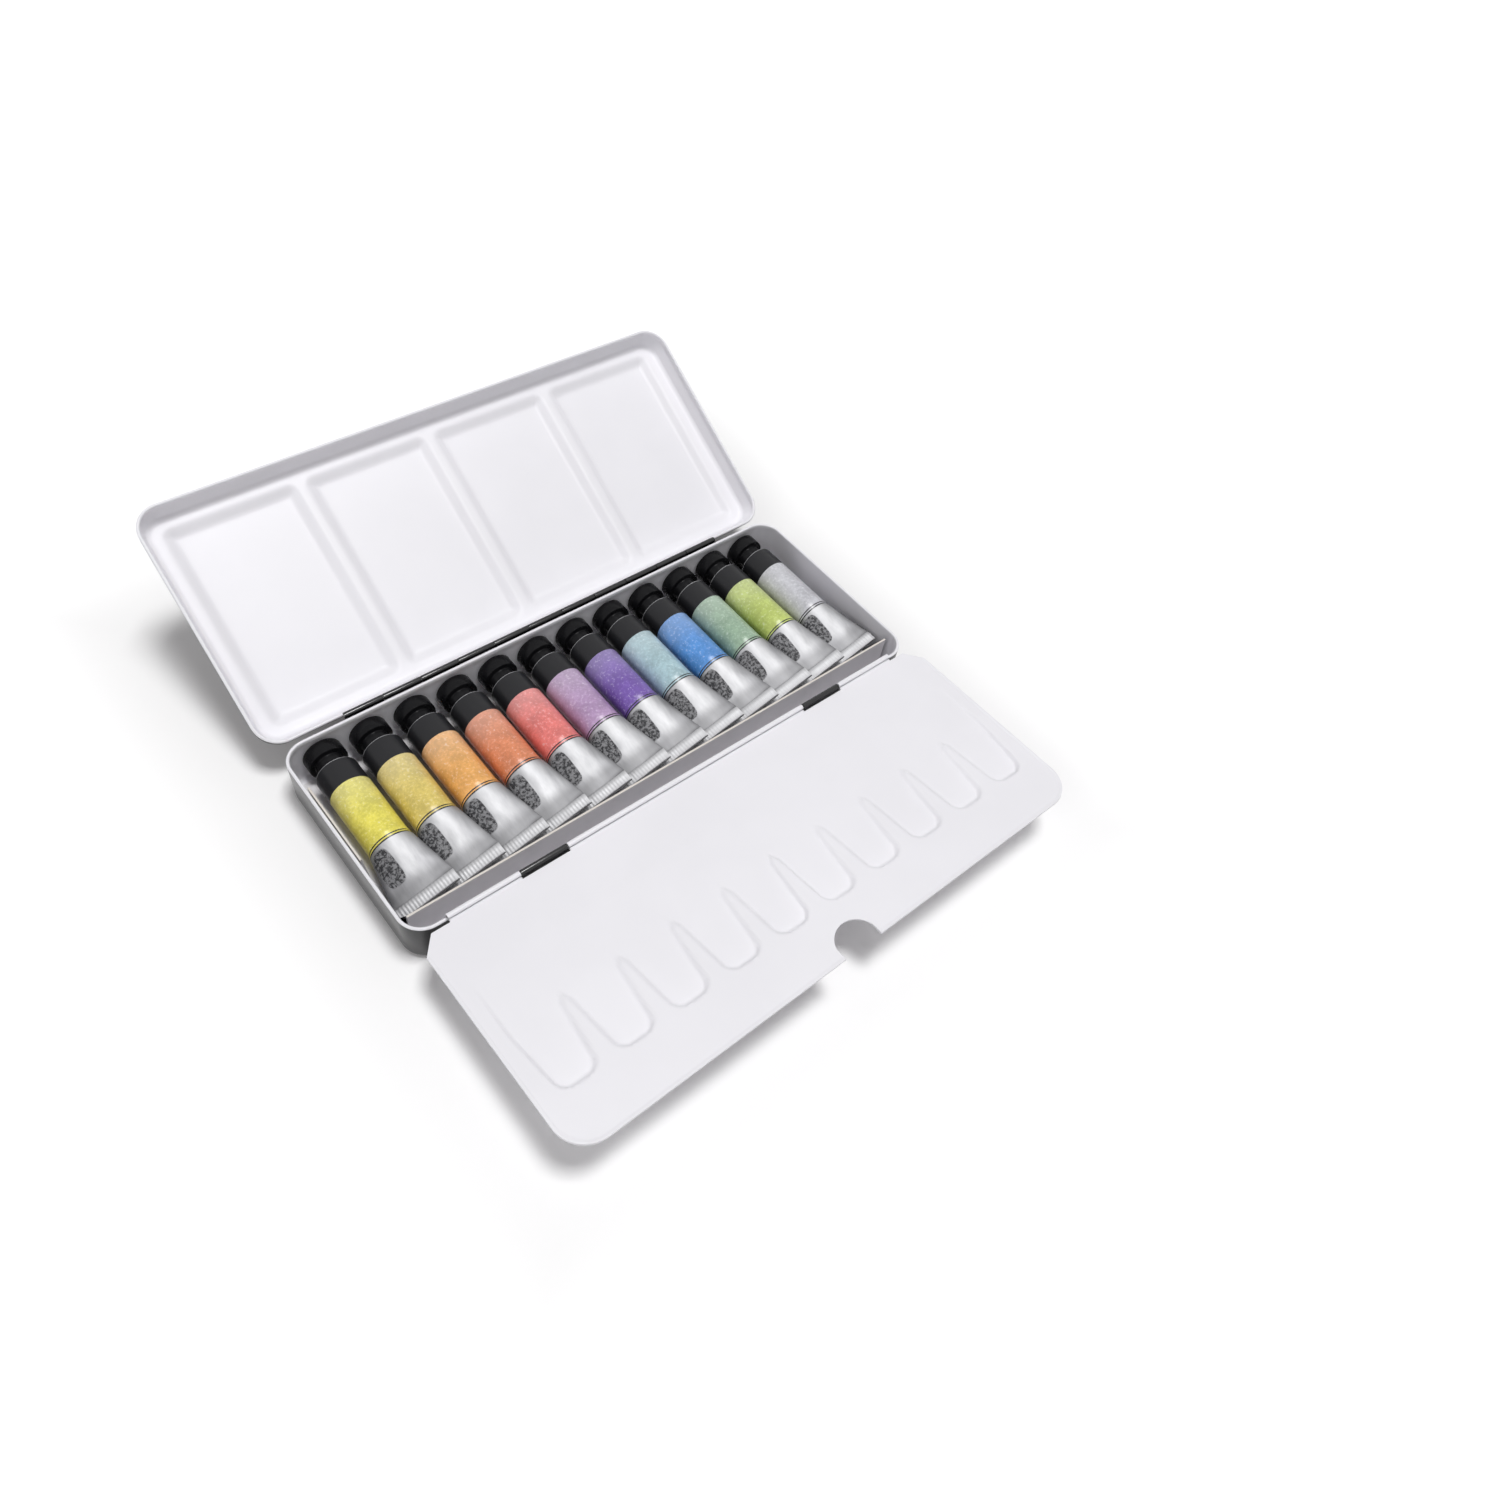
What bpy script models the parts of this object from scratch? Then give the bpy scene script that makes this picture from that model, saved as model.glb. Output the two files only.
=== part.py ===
"""Hinged metal tin of twelve watercolour tubes with a fold-out mixing palette.

Frame: origin on the table under the middle of the tin, X along the tin, Y to the lid side, Z up.
The tin stands open: the lid leans back on its rear hinge and the palette lies out in front.
"""
import math

import bpy

# Sizes are in millimetres and MM turns them into metres
MM = 0.001

# Base of the tin
TIN_LENGTH = 228.0
TIN_DEPTH = 91.0
TIN_HEIGHT = 20.0
TIN_CORNER = 9.5
TIN_DRAFT = 0.6
TIN_FILLET = 2.6
SHEET = 0.6
HEM_WIDTH = 1.2
HEM_HEIGHT = 1.8
HEM_ROUND = 0.4

# Lid
LID_OVERHANG = 2.5
LID_CORNER = 10.0
LID_HEIGHT = 9.2
LID_DRAFT = 6.0
LID_FILLET = 5.5
LID_HEM_WIDTH = 0.9
LID_LEAN = 29.6
LID_LAP = 0.5
LID_RIM_GAP = 0.15

# Mixing wells pressed in the lid
LID_WELL_COUNT = 4
LID_WELL_RIDGE = 3.0
LID_WELL_MARGIN = 8.0
LID_WELL_END = 9.5
LID_WELL_SINK = 2.2
LID_WELL_CORNER = 6.0
LID_WELL_SLOPE = 3.0

# Rear hinge
REAR_KNUCKLES = 11
REAR_KNUCKLE_PITCH = 15.8
REAR_KNUCKLE_RADIUS = 1.25
REAR_PIN_RADIUS = 0.5
REAR_AXIS_OUTSET = 0.4

# Front hinge
FRONT_KNUCKLE_RADIUS = 1.1
FRONT_PIN_RADIUS = 0.35
FRONT_SEAT_GAP = 0.4
FRONT_HINGE_INSET = 13.0
FRONT_TAB_INNER = 54.4
FRONT_TAB_LENGTH = 18.8

# Rolled strip of both hinges
STRIP = 0.45
CURL_TURN = 250.0
CURL_STEPS = 8
KNUCKLE_GAP = 0.4

# Palette flap
FLAP_SIDE_GAP = 0.4
FLAP_SHORT = 1.1
FLAP_CORNER = 12.0
FLAP_REAR_GAP = 0.8
FLAP_CLIP_LENGTH = 5.6
FLAP_CLIP_DEPTH = 6.8
FLAP_RISE = 1.6
FLAP_SHEET_DROP = 0.05
FLAP_HEM_WIDTH = 1.0
FLAP_HEM_RAISE = 0.2
FLAP_HEM_DROP = 0.35
FLAP_HEM_START = 9.4
NOTCH_RADIUS = 8.5
NOTCH_DEPTH = 10.7
NOTCH_SHIFT = 2.0
CUT_OVERRUN = 12.0

# Tongue wells pressed in the flap
TONGUE_COUNT = 10
TONGUE_MARGIN = 4.6
TONGUE_SINK = 1.8
TONGUE_FADE = 22.0
TONGUE_FRONT = 18.4
TONGUE_APEX = 47.0
TONGUE_APEX_SPREAD = 1.6
TONGUE_ROUND = 5.5
TONGUE_GAP = 2.8
TONGUE_CREST = 0.7
TONGUE_WALL = 0.35
TONGUE_SLOPE = 1.2
TONGUE_TOP_INSET = 0.3
TONGUE_STEPS = 6
TONGUE_LEAD = 4.0

# Brush trough, and the card insert under the tubes
TROUGH_WIDTH = 9.3
CARD = 0.8
CARD_GAP = 0.3
CARD_END_ROOM = 3.5
CARD_REAR_ROOM = 4.5
CARD_FRONT_DROP = 2.5
CARD_WING_DROP = 1.6
CARD_WING_REAR = 27.0
CARD_WING_FRONT = 9.0
CARD_WING_LEAN = 1.8
CARD_WING_INSET = 0.1

# Paint tubes
TUBE_RADIUS = 8.0
TUBE_SPACING = 2.04
TUBE_END_ROOM = 5.7
TUBE_GAP = 0.3
TAIL_ROOM = 4.4
TUBE_TILT = 15.0
TUBE_SIDES = 18
SHOULDER_START = 10.0
SHOULDER_RADIUS = 5.6
SHOULDER_LENGTH = 2.6
SHOULDER_EDGE = 0.4
SHOULDER_RISE = 0.1
FLARE_LENGTH = 23.4
FLARE_TIP = 2.0
FLARE_TUCK = 0.14
FLARE_STEPS = 3
FOLD_LENGTH = 4.7
FOLD_TUCK = 0.67
FOLD_THICK = 0.9
FOLD_THIN = 0.55
FOLD_STEP = 0.5
FOLD_SQUARENESS = 0.35
NECK_RADIUS = 3.2
NECK_LENGTH = 6.4

# Screw caps
CAP_STEP = 0.6
CAP_DISC_LENGTH = 5.6
CAP_WALL = 1.6
CAP_CHAMFER = 0.6
CAP_CLEARANCE = 0.4
CAP_ROOM = 1.0
CAP_SIDES = 14

CORNER_STEPS = 5
FILLET_STEPS = 3
PIN_SIDES = 10

BLACK_ENAMEL = (0.012, 0.012, 0.013)
WHITE_ENAMEL = (0.80, 0.79, 0.82)
BLACK_PLASTIC = (0.010, 0.010, 0.011)
WHITE_CARD = (0.74, 0.72, 0.72)
STEEL = (0.55, 0.55, 0.56)
LABELS = (
    ("lemon", (0.76, 0.72, 0.10)),
    ("ochre", (0.68, 0.56, 0.14)),
    ("orange", (0.82, 0.40, 0.10)),
    ("copper", (0.72, 0.24, 0.10)),
    ("coral", (0.78, 0.18, 0.16)),
    ("mauve", (0.48, 0.32, 0.54)),
    ("violet", (0.22, 0.12, 0.50)),
    ("turquoise", (0.36, 0.56, 0.58)),
    ("blue", (0.10, 0.27, 0.66)),
    ("sage", (0.33, 0.50, 0.34)),
    ("lime", (0.48, 0.64, 0.16)),
    ("silver", (0.56, 0.57, 0.60)),
)

# Lid and rear hinge, from the sizes above
LID_LENGTH = TIN_LENGTH + 2 * LID_OVERHANG
LID_DEPTH = TIN_DEPTH + 2 * LID_OVERHANG
LID_DROP = REAR_KNUCKLE_RADIUS + LID_RIM_GAP
LID_FLOOR = -LID_DROP - LID_HEIGHT
REAR_AXIS_Y = TIN_DEPTH / 2 + LID_OVERHANG + REAR_AXIS_OUTSET
REAR_AXIS_Z = TIN_HEIGHT - LID_LAP - LID_DROP
LID_WELLS_LENGTH = LID_LENGTH - 2 * LID_WELL_MARGIN + LID_WELL_RIDGE
LID_WELL_PITCH = LID_WELLS_LENGTH / LID_WELL_COUNT
LID_WELL_LENGTH = LID_WELL_PITCH - LID_WELL_RIDGE
LID_WELL_DEPTH = LID_DEPTH - 2 * LID_WELL_END

# Palette flap and front hinge
FRONT_AXIS_RISE = FRONT_KNUCKLE_RADIUS + FRONT_SEAT_GAP
FRONT_AXIS_Y = -TIN_DEPTH / 2
FRONT_AXIS_Z = TIN_HEIGHT + FRONT_AXIS_RISE
FRONT_HINGE_HALF = TIN_LENGTH / 2 - FRONT_HINGE_INSET
FLAP_LENGTH = TIN_LENGTH - 2 * FLAP_SIDE_GAP
FLAP_REACH = TIN_DEPTH - FLAP_SHORT
FLAP_REAR_EDGE = FRONT_KNUCKLE_RADIUS + FLAP_REAR_GAP
FLAP_BOTTOM = -FRONT_KNUCKLE_RADIUS - FLAP_SHEET_DROP
FLAP_TOP = FLAP_BOTTOM + SHEET
TONGUE_PITCH = (FLAP_LENGTH - 2 * TONGUE_MARGIN) / TONGUE_COUNT
TONGUE_HALF = TONGUE_PITCH / 2 - TONGUE_GAP
TONGUE_END = FLAP_REACH - TONGUE_FRONT

# Card, tubes and caps, which fill the tin
CARD_FLOOR = SHEET + CARD_GAP
CARD_LENGTH = TIN_LENGTH - 2 * CARD_END_ROOM
CARD_REAR = TIN_DEPTH / 2 - CARD_REAR_ROOM
CARD_FRONT = -TIN_DEPTH / 2 + TROUGH_WIDTH
CARD_FRONT_HEIGHT = TIN_HEIGHT - CARD_FRONT_DROP
CARD_WING_HEIGHT = TIN_HEIGHT - CARD_WING_DROP
TUBE_PITCH = 2 * TUBE_RADIUS + TUBE_SPACING
TUBE_COUNT = int((TIN_LENGTH - 2 * TUBE_END_ROOM) / TUBE_PITCH)
TUBE_AXIS_Z = CARD_FLOOR + CARD + TUBE_GAP + TUBE_RADIUS
TUBE_REAR = TIN_DEPTH / 2 - SHEET - CAP_ROOM
TUBE_LENGTH = TUBE_REAR - CARD_FRONT - CARD - TAIL_ROOM
FOLD_START = TUBE_LENGTH - FOLD_LENGTH
FOLD_HALF = TUBE_RADIUS * math.pi / 2 - FOLD_TUCK
FLARE_START = FOLD_START - FLARE_LENGTH
CAP_DISC_RADIUS = TUBE_RADIUS - CAP_STEP
CAP_WAIST_RADIUS = NECK_RADIUS + CAP_CLEARANCE + CAP_WALL


def clear_scene():
    """Start from an empty file."""
    for obj in list(bpy.data.objects):
        bpy.data.objects.remove(obj, do_unlink=True)


def make_collection(name):
    """A collection linked under the scene."""
    collection = bpy.data.collections.new(name)
    bpy.context.scene.collection.children.link(collection)
    return collection


def make_material(name, color, roughness, metallic=0.0):
    """A plain surface with one colour."""
    material = bpy.data.materials.new(name)
    material.use_nodes = True
    surface = material.node_tree.nodes["Principled BSDF"]
    surface.inputs["Base Color"].default_value = (*color, 1.0)
    surface.inputs["Roughness"].default_value = roughness
    surface.inputs["Metallic"].default_value = metallic
    return material


def add_object(name, verts, faces, collection):
    """A mesh object from points in millimetres."""
    mesh = bpy.data.meshes.new(name)
    mesh.from_pydata([(x * MM, y * MM, z * MM) for x, y, z in verts], [], faces)
    obj = bpy.data.objects.new(name, mesh)
    collection.objects.link(obj)
    return obj


def loft(name, rings, collection):
    """Skin a stack of rings with equal point counts and close both ends."""
    count = len(rings[0])
    faces = [tuple(reversed(range(count)))]
    for k in range(len(rings) - 1):
        low = k * count
        high = low + count
        for i in range(count):
            j = (i + 1) % count
            faces.append((low + i, low + j, high + j, high + i))
    last = (len(rings) - 1) * count
    faces.append(tuple(range(last, last + count)))
    return add_object(name, [p for ring in rings for p in ring], faces, collection)


def prism_x(name, profile, x0, x1, collection):
    """A profile in the YZ plane drawn out along X."""
    return loft(name, [[(x, y, z) for y, z in profile] for x in (x0, x1)], collection)


def prism_z(name, outline, z0, z1, collection):
    """An outline in the XY plane drawn out along Z."""
    return loft(name, [[(x, y, z) for x, y in outline] for z in (z0, z1)], collection)


def rod_x(name, radius, x0, x1, sides, collection):
    """A round rod along X through the local origin."""
    turn = [2 * math.pi * k / sides for k in range(sides)]
    profile = [(radius * math.cos(a), radius * math.sin(a)) for a in turn]
    return prism_x(name, profile, x0, x1, collection)


def combine(target, tool, operation):
    """Fuse a tool with a target or cut it away."""
    tool.display_type = "WIRE"
    tool.hide_render = True
    modifier = target.modifiers.new(tool.name, "BOOLEAN")
    modifier.operation = operation
    modifier.solver = "EXACT"
    modifier.object = tool


def shade_smooth(obj):
    """Smooth shading for a round piece."""
    for polygon in obj.data.polygons:
        polygon.use_smooth = True


def corner_ring(length, depth, radius, z, shift=(0.0, 0.0)):
    """Rounded rectangle as a ring of points."""
    ring = []
    for sx, sy, start in ((1, 1, 0), (-1, 1, 90), (-1, -1, 180), (1, -1, 270)):
        for k in range(CORNER_STEPS + 1):
            a = math.radians(start + 90 * k / CORNER_STEPS)
            x = shift[0] + sx * (length / 2 - radius) + radius * math.cos(a)
            y = shift[1] + sy * (depth / 2 - radius) + radius * math.sin(a)
            ring.append((x, y, z))
    return ring


def fillet_points(inset, radius, floor):
    """Quarter turn from a floor up to a wall as (inset, height) pairs."""
    turns = [math.radians(90 * k / FILLET_STEPS) for k in range(FILLET_STEPS + 1)]
    return [(inset + radius * (1 - math.sin(a)), floor + radius * (1 - math.cos(a))) for a in turns]


def pressed_profile(height, draft, fillet, hem):
    """Section of a pressed shell from the outside of its floor over the rim to the inside."""
    slope = math.tan(math.radians(draft))
    foot = (height - fillet) * slope
    round_off = HEM_ROUND * (1 - math.sqrt(0.5))
    outer = fillet_points(foot, fillet, 0.0)
    rim = [
        (0.0, height - HEM_ROUND),
        (round_off, height - round_off),
        (HEM_ROUND, height),
        (hem - HEM_ROUND, height),
        (hem - round_off, height - round_off),
        (hem, height - HEM_ROUND),
        (hem, height - HEM_HEIGHT),
        (SHEET + HEM_HEIGHT * slope, height - HEM_HEIGHT - HEM_ROUND),
    ]
    inner = fillet_points(foot + SHEET, fillet - SHEET, SHEET)
    return outer + rim + inner[::-1]


def pressed_shell(name, length, depth, corner, profile, base, shift, collection):
    """A rounded rectangular pan whose section runs round its whole edge."""
    rings = []
    for inset, height in profile:
        size = (length - 2 * inset, depth - 2 * inset)
        rings.append(corner_ring(*size, corner - inset, base + height, shift))
    return loft(name, rings, collection)


def curl_profile(radius, reach, flat):
    """A strip that runs straight and then curls round a pin.

    The straight part is upright on the +Y side, or level underneath where flat is true.
    """
    turns = [math.radians(CURL_TURN * k / CURL_STEPS) for k in range(CURL_STEPS + 1)]
    inner = radius - STRIP
    points = [(radius, -reach)]
    points += [(radius * math.cos(a), radius * math.sin(a)) for a in turns]
    points += [(inner * math.cos(a), inner * math.sin(a)) for a in reversed(turns)]
    points += [(inner, -reach)]
    if flat:
        points = [(z, -y) for y, z in points]
    return points


def place(obj, y, z, turn=0.0):
    """Put a piece whose origin lies on its hinge axis."""
    obj.location = (0.0, y * MM, z * MM)
    obj.rotation_euler = (math.radians(turn), 0.0, 0.0)


def rear_spans():
    """Ends of each rear knuckle along X, from the left."""
    start = -REAR_KNUCKLES * REAR_KNUCKLE_PITCH / 2
    ends = [start + k * REAR_KNUCKLE_PITCH for k in range(REAR_KNUCKLES + 1)]
    return [(a + KNUCKLE_GAP / 2, b - KNUCKLE_GAP / 2) for a, b in zip(ends, ends[1:])]


def front_spans():
    """Ends of the flap's knuckles and of the tin's two tabs along X."""
    outer = FRONT_TAB_INNER + FRONT_TAB_LENGTH
    gap = KNUCKLE_GAP / 2
    flap = [(-FRONT_HINGE_HALF, -outer - gap)]
    flap.append((-FRONT_TAB_INNER + gap, FRONT_TAB_INNER - gap))
    flap.append((outer + gap, FRONT_HINGE_HALF))
    tabs = [(-outer + gap, -FRONT_TAB_INNER - gap), (FRONT_TAB_INNER + gap, outer - gap)]
    return flap, tabs


def build_base(parts, tools):
    """Pressed pan with rolled knuckles for both hinges."""
    profile = pressed_profile(TIN_HEIGHT, TIN_DRAFT, TIN_FILLET, HEM_WIDTH)
    base = pressed_shell(
        "base_tray", TIN_LENGTH, TIN_DEPTH, TIN_CORNER, profile, 0.0, (0.0, 0.0), parts)
    rear = curl_profile(REAR_KNUCKLE_RADIUS, LID_OVERHANG + REAR_AXIS_OUTSET + SHEET / 2, True)
    for k, (x0, x1) in enumerate(rear_spans()):
        if k % 2 == 0:
            knuckle = prism_x(f"base_rear_curl_{k}", rear, x0, x1, tools)
            place(knuckle, REAR_AXIS_Y, REAR_AXIS_Z)
            combine(base, knuckle, "UNION")
    front = curl_profile(FRONT_KNUCKLE_RADIUS, FRONT_AXIS_RISE + HEM_WIDTH, False)
    for k, (x0, x1) in enumerate(front_spans()[1]):
        tab = prism_x(f"base_front_curl_{k}", front, x0, x1, tools)
        place(tab, FRONT_AXIS_Y, FRONT_AXIS_Z)
        combine(base, tab, "UNION")
    return base


def well_rings(grow, top, bottom, slope):
    """Rings of one lid well, widest at the rim side."""
    rings = []
    for inset, z in ((slope, bottom), (0.0, top)):
        size = (LID_WELL_LENGTH + 2 * (grow - inset), LID_WELL_DEPTH + 2 * (grow - inset))
        rings.append(corner_ring(*size, LID_WELL_CORNER + grow - inset / 2, z))
    return rings


def press_lid_wells(lid, middle, tools):
    """Four shallow wells: a pad outside and a pocket inside each."""
    outside = LID_FLOOR
    inside = outside + SHEET
    spread = LID_WELL_SLOPE / LID_WELL_SINK
    for k in range(LID_WELL_COUNT):
        x = (k - (LID_WELL_COUNT - 1) / 2) * LID_WELL_PITCH
        over = SHEET / 2
        pad = well_rings(SHEET + over * spread, outside + over, outside - LID_WELL_SINK,
                         LID_WELL_SLOPE + over * spread)
        pocket = well_rings(over * spread, inside + over, inside - LID_WELL_SINK,
                            LID_WELL_SLOPE + over * spread)
        for kind, rings, operation in (("pad", pad, "UNION"), ("pocket", pocket, "DIFFERENCE")):
            moved = [[(px + x, py + middle, pz) for px, py, pz in ring] for ring in rings]
            tool = loft(f"lid_{kind}_{k}", moved, tools)
            place(tool, REAR_AXIS_Y, REAR_AXIS_Z, LID_LEAN)
            combine(lid, tool, operation)


def build_lid(parts, tools):
    """Pressed lid on its rear hinge, opening upward in its own frame."""
    profile = pressed_profile(LID_HEIGHT, LID_DRAFT, LID_FILLET, LID_HEM_WIDTH)
    middle = LID_DEPTH / 2 + REAR_AXIS_OUTSET
    lid = pressed_shell(
        "lid", LID_LENGTH, LID_DEPTH, LID_CORNER, profile, LID_FLOOR, (0.0, middle), parts)
    place(lid, REAR_AXIS_Y, REAR_AXIS_Z, LID_LEAN)
    press_lid_wells(lid, middle, tools)
    curl = curl_profile(REAR_KNUCKLE_RADIUS, LID_DROP + HEM_HEIGHT, False)
    for k, (x0, x1) in enumerate(rear_spans()):
        if k % 2 == 1:
            knuckle = prism_x(f"lid_curl_{k}", curl, x0, x1, tools)
            place(knuckle, REAR_AXIS_Y, REAR_AXIS_Z, LID_LEAN)
            combine(lid, knuckle, "UNION")
    return lid


def corner_arc(x, y, radius, start):
    """Quarter turn of an outline about a corner centre."""
    turns = [math.radians(start + 90 * k / CORNER_STEPS) for k in range(CORNER_STEPS + 1)]
    return [(x + radius * math.cos(a), y + radius * math.sin(a)) for a in turns]


def flap_front(inset):
    """Front corners of the flap outline, from the left side to the right."""
    radius = FLAP_CORNER - inset
    x = FLAP_LENGTH / 2 - FLAP_CORNER
    y = -FLAP_REACH + FLAP_CORNER
    return corner_arc(-x, y, radius, 180) + corner_arc(x, y, radius, 270)


def flap_outline():
    """Outer edge of the flap with clipped corners beside the hinge."""
    half = FLAP_LENGTH / 2
    side = -FLAP_REAR_EDGE - FLAP_CLIP_DEPTH
    rear = half - FLAP_CLIP_LENGTH
    outline = [(rear, -FLAP_REAR_EDGE), (-rear, -FLAP_REAR_EDGE), (-half, side)]
    return outline + flap_front(0.0) + [(half, side)]


def flap_field():
    """Area inside the hems, open toward the hinge."""
    half = FLAP_LENGTH / 2
    inner = half - FLAP_HEM_WIDTH
    wide = half + CUT_OVERRUN
    rear = [(wide, CUT_OVERRUN), (-wide, CUT_OVERRUN)]
    left = [(-wide, -FLAP_HEM_START), (-inner, -FLAP_HEM_START)]
    right = [(inner, -FLAP_HEM_START), (wide, -FLAP_HEM_START)]
    return rear + left + flap_front(FLAP_HEM_WIDTH) + right


def notch_outline():
    """Round cut for a thumb in the front edge of the flap."""
    y = -FLAP_REACH + NOTCH_DEPTH - NOTCH_RADIUS
    outline = []
    for start in (0, 90, 180, 270):
        outline += corner_arc(NOTCH_SHIFT, y, NOTCH_RADIUS, start)[:-1]
    return outline


def tongue_outline(grow):
    """Comb of rounded tongues side by side, closed by a straight edge toward the hinge."""
    half = TONGUE_HALF + grow
    end = TONGUE_END + grow
    shoulder = TONGUE_END - TONGUE_ROUND
    crest = TONGUE_CREST - grow
    apex = -TONGUE_APEX - grow * TONGUE_APEX_SPREAD
    edge = TONGUE_COUNT * TONGUE_PITCH / 2 - crest
    outline = [(edge, -TONGUE_FADE + TONGUE_LEAD), (-edge, -TONGUE_FADE + TONGUE_LEAD)]
    for k in range(TONGUE_COUNT):
        x = (k - (TONGUE_COUNT - 1) / 2) * TONGUE_PITCH
        outline.append((x - TONGUE_PITCH / 2 + crest, apex))
        for step in range(TONGUE_STEPS + 1):
            a = math.pi * step / TONGUE_STEPS
            outline.append((x - half * math.cos(a), -shoulder - (end - shoulder) * math.sin(a)))
        outline.append((x + TONGUE_PITCH / 2 - crest, apex))
    return outline


def tongue_floor(y):
    """Sinking floor of the tongues below the sheet at a distance from the hinge."""
    return TONGUE_SINK * (y + TONGUE_FADE) / (TONGUE_END - TONGUE_FADE)


def press_tongues(flap, tools):
    """Ten tongue wells: one pad below and one pocket above."""
    for kind, face, wall, operation in (
            ("pad", FLAP_BOTTOM, TONGUE_WALL, "UNION"),
            ("pocket", FLAP_TOP, 0.0, "DIFFERENCE")):
        grow = wall - TONGUE_TOP_INSET
        low = [(x, y, face + tongue_floor(y)) for x, y in tongue_outline(grow - TONGUE_SLOPE)]
        high = [(x, y, face + SHEET / 2) for x, y in tongue_outline(grow)]
        tool = loft(f"flap_{kind}", [low, high], tools)
        place(tool, FRONT_AXIS_Y, FRONT_AXIS_Z, -FLAP_RISE)
        combine(flap, tool, operation)


def build_flap(parts, tools):
    """Palette flap with hems, thumb notch, tongue wells and rolled knuckles."""
    top = FLAP_TOP + FLAP_HEM_RAISE
    bottom = FLAP_BOTTOM - FLAP_HEM_DROP
    flap = prism_z("palette_flap", flap_outline(), bottom, top, parts)
    place(flap, FRONT_AXIS_Y, FRONT_AXIS_Z, -FLAP_RISE)
    cuts = [
        prism_z("flap_field_top", flap_field(), FLAP_TOP, top + CUT_OVERRUN, tools),
        prism_z("flap_field_bottom", flap_field(), bottom - CUT_OVERRUN, FLAP_BOTTOM, tools),
        prism_z("flap_notch", notch_outline(), -CUT_OVERRUN, CUT_OVERRUN, tools),
    ]
    for cut in cuts:
        place(cut, FRONT_AXIS_Y, FRONT_AXIS_Z, -FLAP_RISE)
        combine(flap, cut, "DIFFERENCE")
    press_tongues(flap, tools)
    curl = curl_profile(FRONT_KNUCKLE_RADIUS, FLAP_REAR_EDGE + STRIP, True)
    for k, (x0, x1) in enumerate(front_spans()[0]):
        knuckle = prism_x(f"flap_curl_{k}", curl, x0, x1, tools)
        place(knuckle, FRONT_AXIS_Y, FRONT_AXIS_Z, -FLAP_RISE)
        combine(flap, knuckle, "UNION")
    return flap


def build_pins(parts):
    """Round wires through both rows of knuckles."""
    half = REAR_KNUCKLES * REAR_KNUCKLE_PITCH / 2
    rear = rod_x("rear_hinge_pin", REAR_PIN_RADIUS, -half, half, PIN_SIDES, parts)
    place(rear, REAR_AXIS_Y, REAR_AXIS_Z)
    front = rod_x(
        "front_hinge_pin", FRONT_PIN_RADIUS, -FRONT_HINGE_HALF, FRONT_HINGE_HALF, PIN_SIDES, parts)
    place(front, FRONT_AXIS_Y, FRONT_AXIS_Z)
    return [rear, front]


def build_card(parts, tools):
    """Folded card: a floor, a front wall and a wing along the left wall of the tin."""
    profile = [
        (CARD_FRONT, CARD_FLOOR),
        (CARD_REAR, CARD_FLOOR),
        (CARD_REAR, CARD_FLOOR + CARD),
        (CARD_FRONT + CARD, CARD_FLOOR + CARD),
        (CARD_FRONT + CARD, CARD_FRONT_HEIGHT),
        (CARD_FRONT, CARD_FRONT_HEIGHT),
    ]
    half = CARD_LENGTH / 2
    card = prism_x("card_insert", profile, -half, half, parts)
    rings = []
    for lean, z in ((0.0, CARD_FLOOR + CARD / 2), (CARD_WING_LEAN, CARD_WING_HEIGHT)):
        x = -half - lean + CARD_WING_INSET
        ring = [(x, -CARD_WING_FRONT), (x + CARD, -CARD_WING_FRONT)]
        ring += [(x + CARD, CARD_WING_REAR), (x, CARD_WING_REAR)]
        rings.append([(px, py, z) for px, py in ring])
    wing = loft("card_wing", rings, tools)
    combine(card, wing, "UNION")
    return card


def tube_ring(along, wide, thick, square):
    """One section across a tube, from round to a squared flat fold."""
    tilt = math.radians(TUBE_TILT)
    ring = []
    for k in range(TUBE_SIDES):
        a = 2 * math.pi * k / TUBE_SIDES
        c = math.copysign(abs(math.cos(a)) ** square, math.cos(a))
        s = math.copysign(abs(math.sin(a)) ** square, math.sin(a))
        x = wide * c
        z = thick * s
        ring.append((x * math.cos(tilt) - z * math.sin(tilt), TUBE_REAR - along,
                     x * math.sin(tilt) + z * math.cos(tilt)))
    return ring


def tube_rings():
    """Neck, shoulder, round body, flattened tail and folded end."""
    edge = SHOULDER_START + SHOULDER_LENGTH
    stations = [
        (SHOULDER_START - NECK_LENGTH, NECK_RADIUS),
        (SHOULDER_START, NECK_RADIUS),
        (SHOULDER_START + SHOULDER_RISE, SHOULDER_RADIUS),
        (edge, TUBE_RADIUS - SHOULDER_EDGE),
        (edge + SHOULDER_EDGE, TUBE_RADIUS),
        (FLARE_START, TUBE_RADIUS),
    ]
    rings = [tube_ring(along, radius, radius, 1.0) for along, radius in stations]
    tip = FOLD_START - FLARE_TIP
    for k in range(1, FLARE_STEPS + 1):
        share = k / FLARE_STEPS
        along = FLARE_START + (tip - FLARE_START) * share
        wide = TUBE_RADIUS + (FOLD_HALF - FLARE_TUCK - TUBE_RADIUS) * share
        thick = TUBE_RADIUS + (FOLD_THICK - TUBE_RADIUS) * share
        rings.append(tube_ring(along, wide, thick, 1.0))
    for along, thick in (
            (FOLD_START, FOLD_THIN),
            (FOLD_START + FOLD_STEP, FOLD_THICK),
            (TUBE_LENGTH, FOLD_THICK)):
        rings.append(tube_ring(along, FOLD_HALF, thick, FOLD_SQUARENESS))
    return rings


def tube_places():
    """Middle of each tube along X, from the left."""
    return [(k - (TUBE_COUNT - 1) / 2) * TUBE_PITCH for k in range(TUBE_COUNT)]


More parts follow.
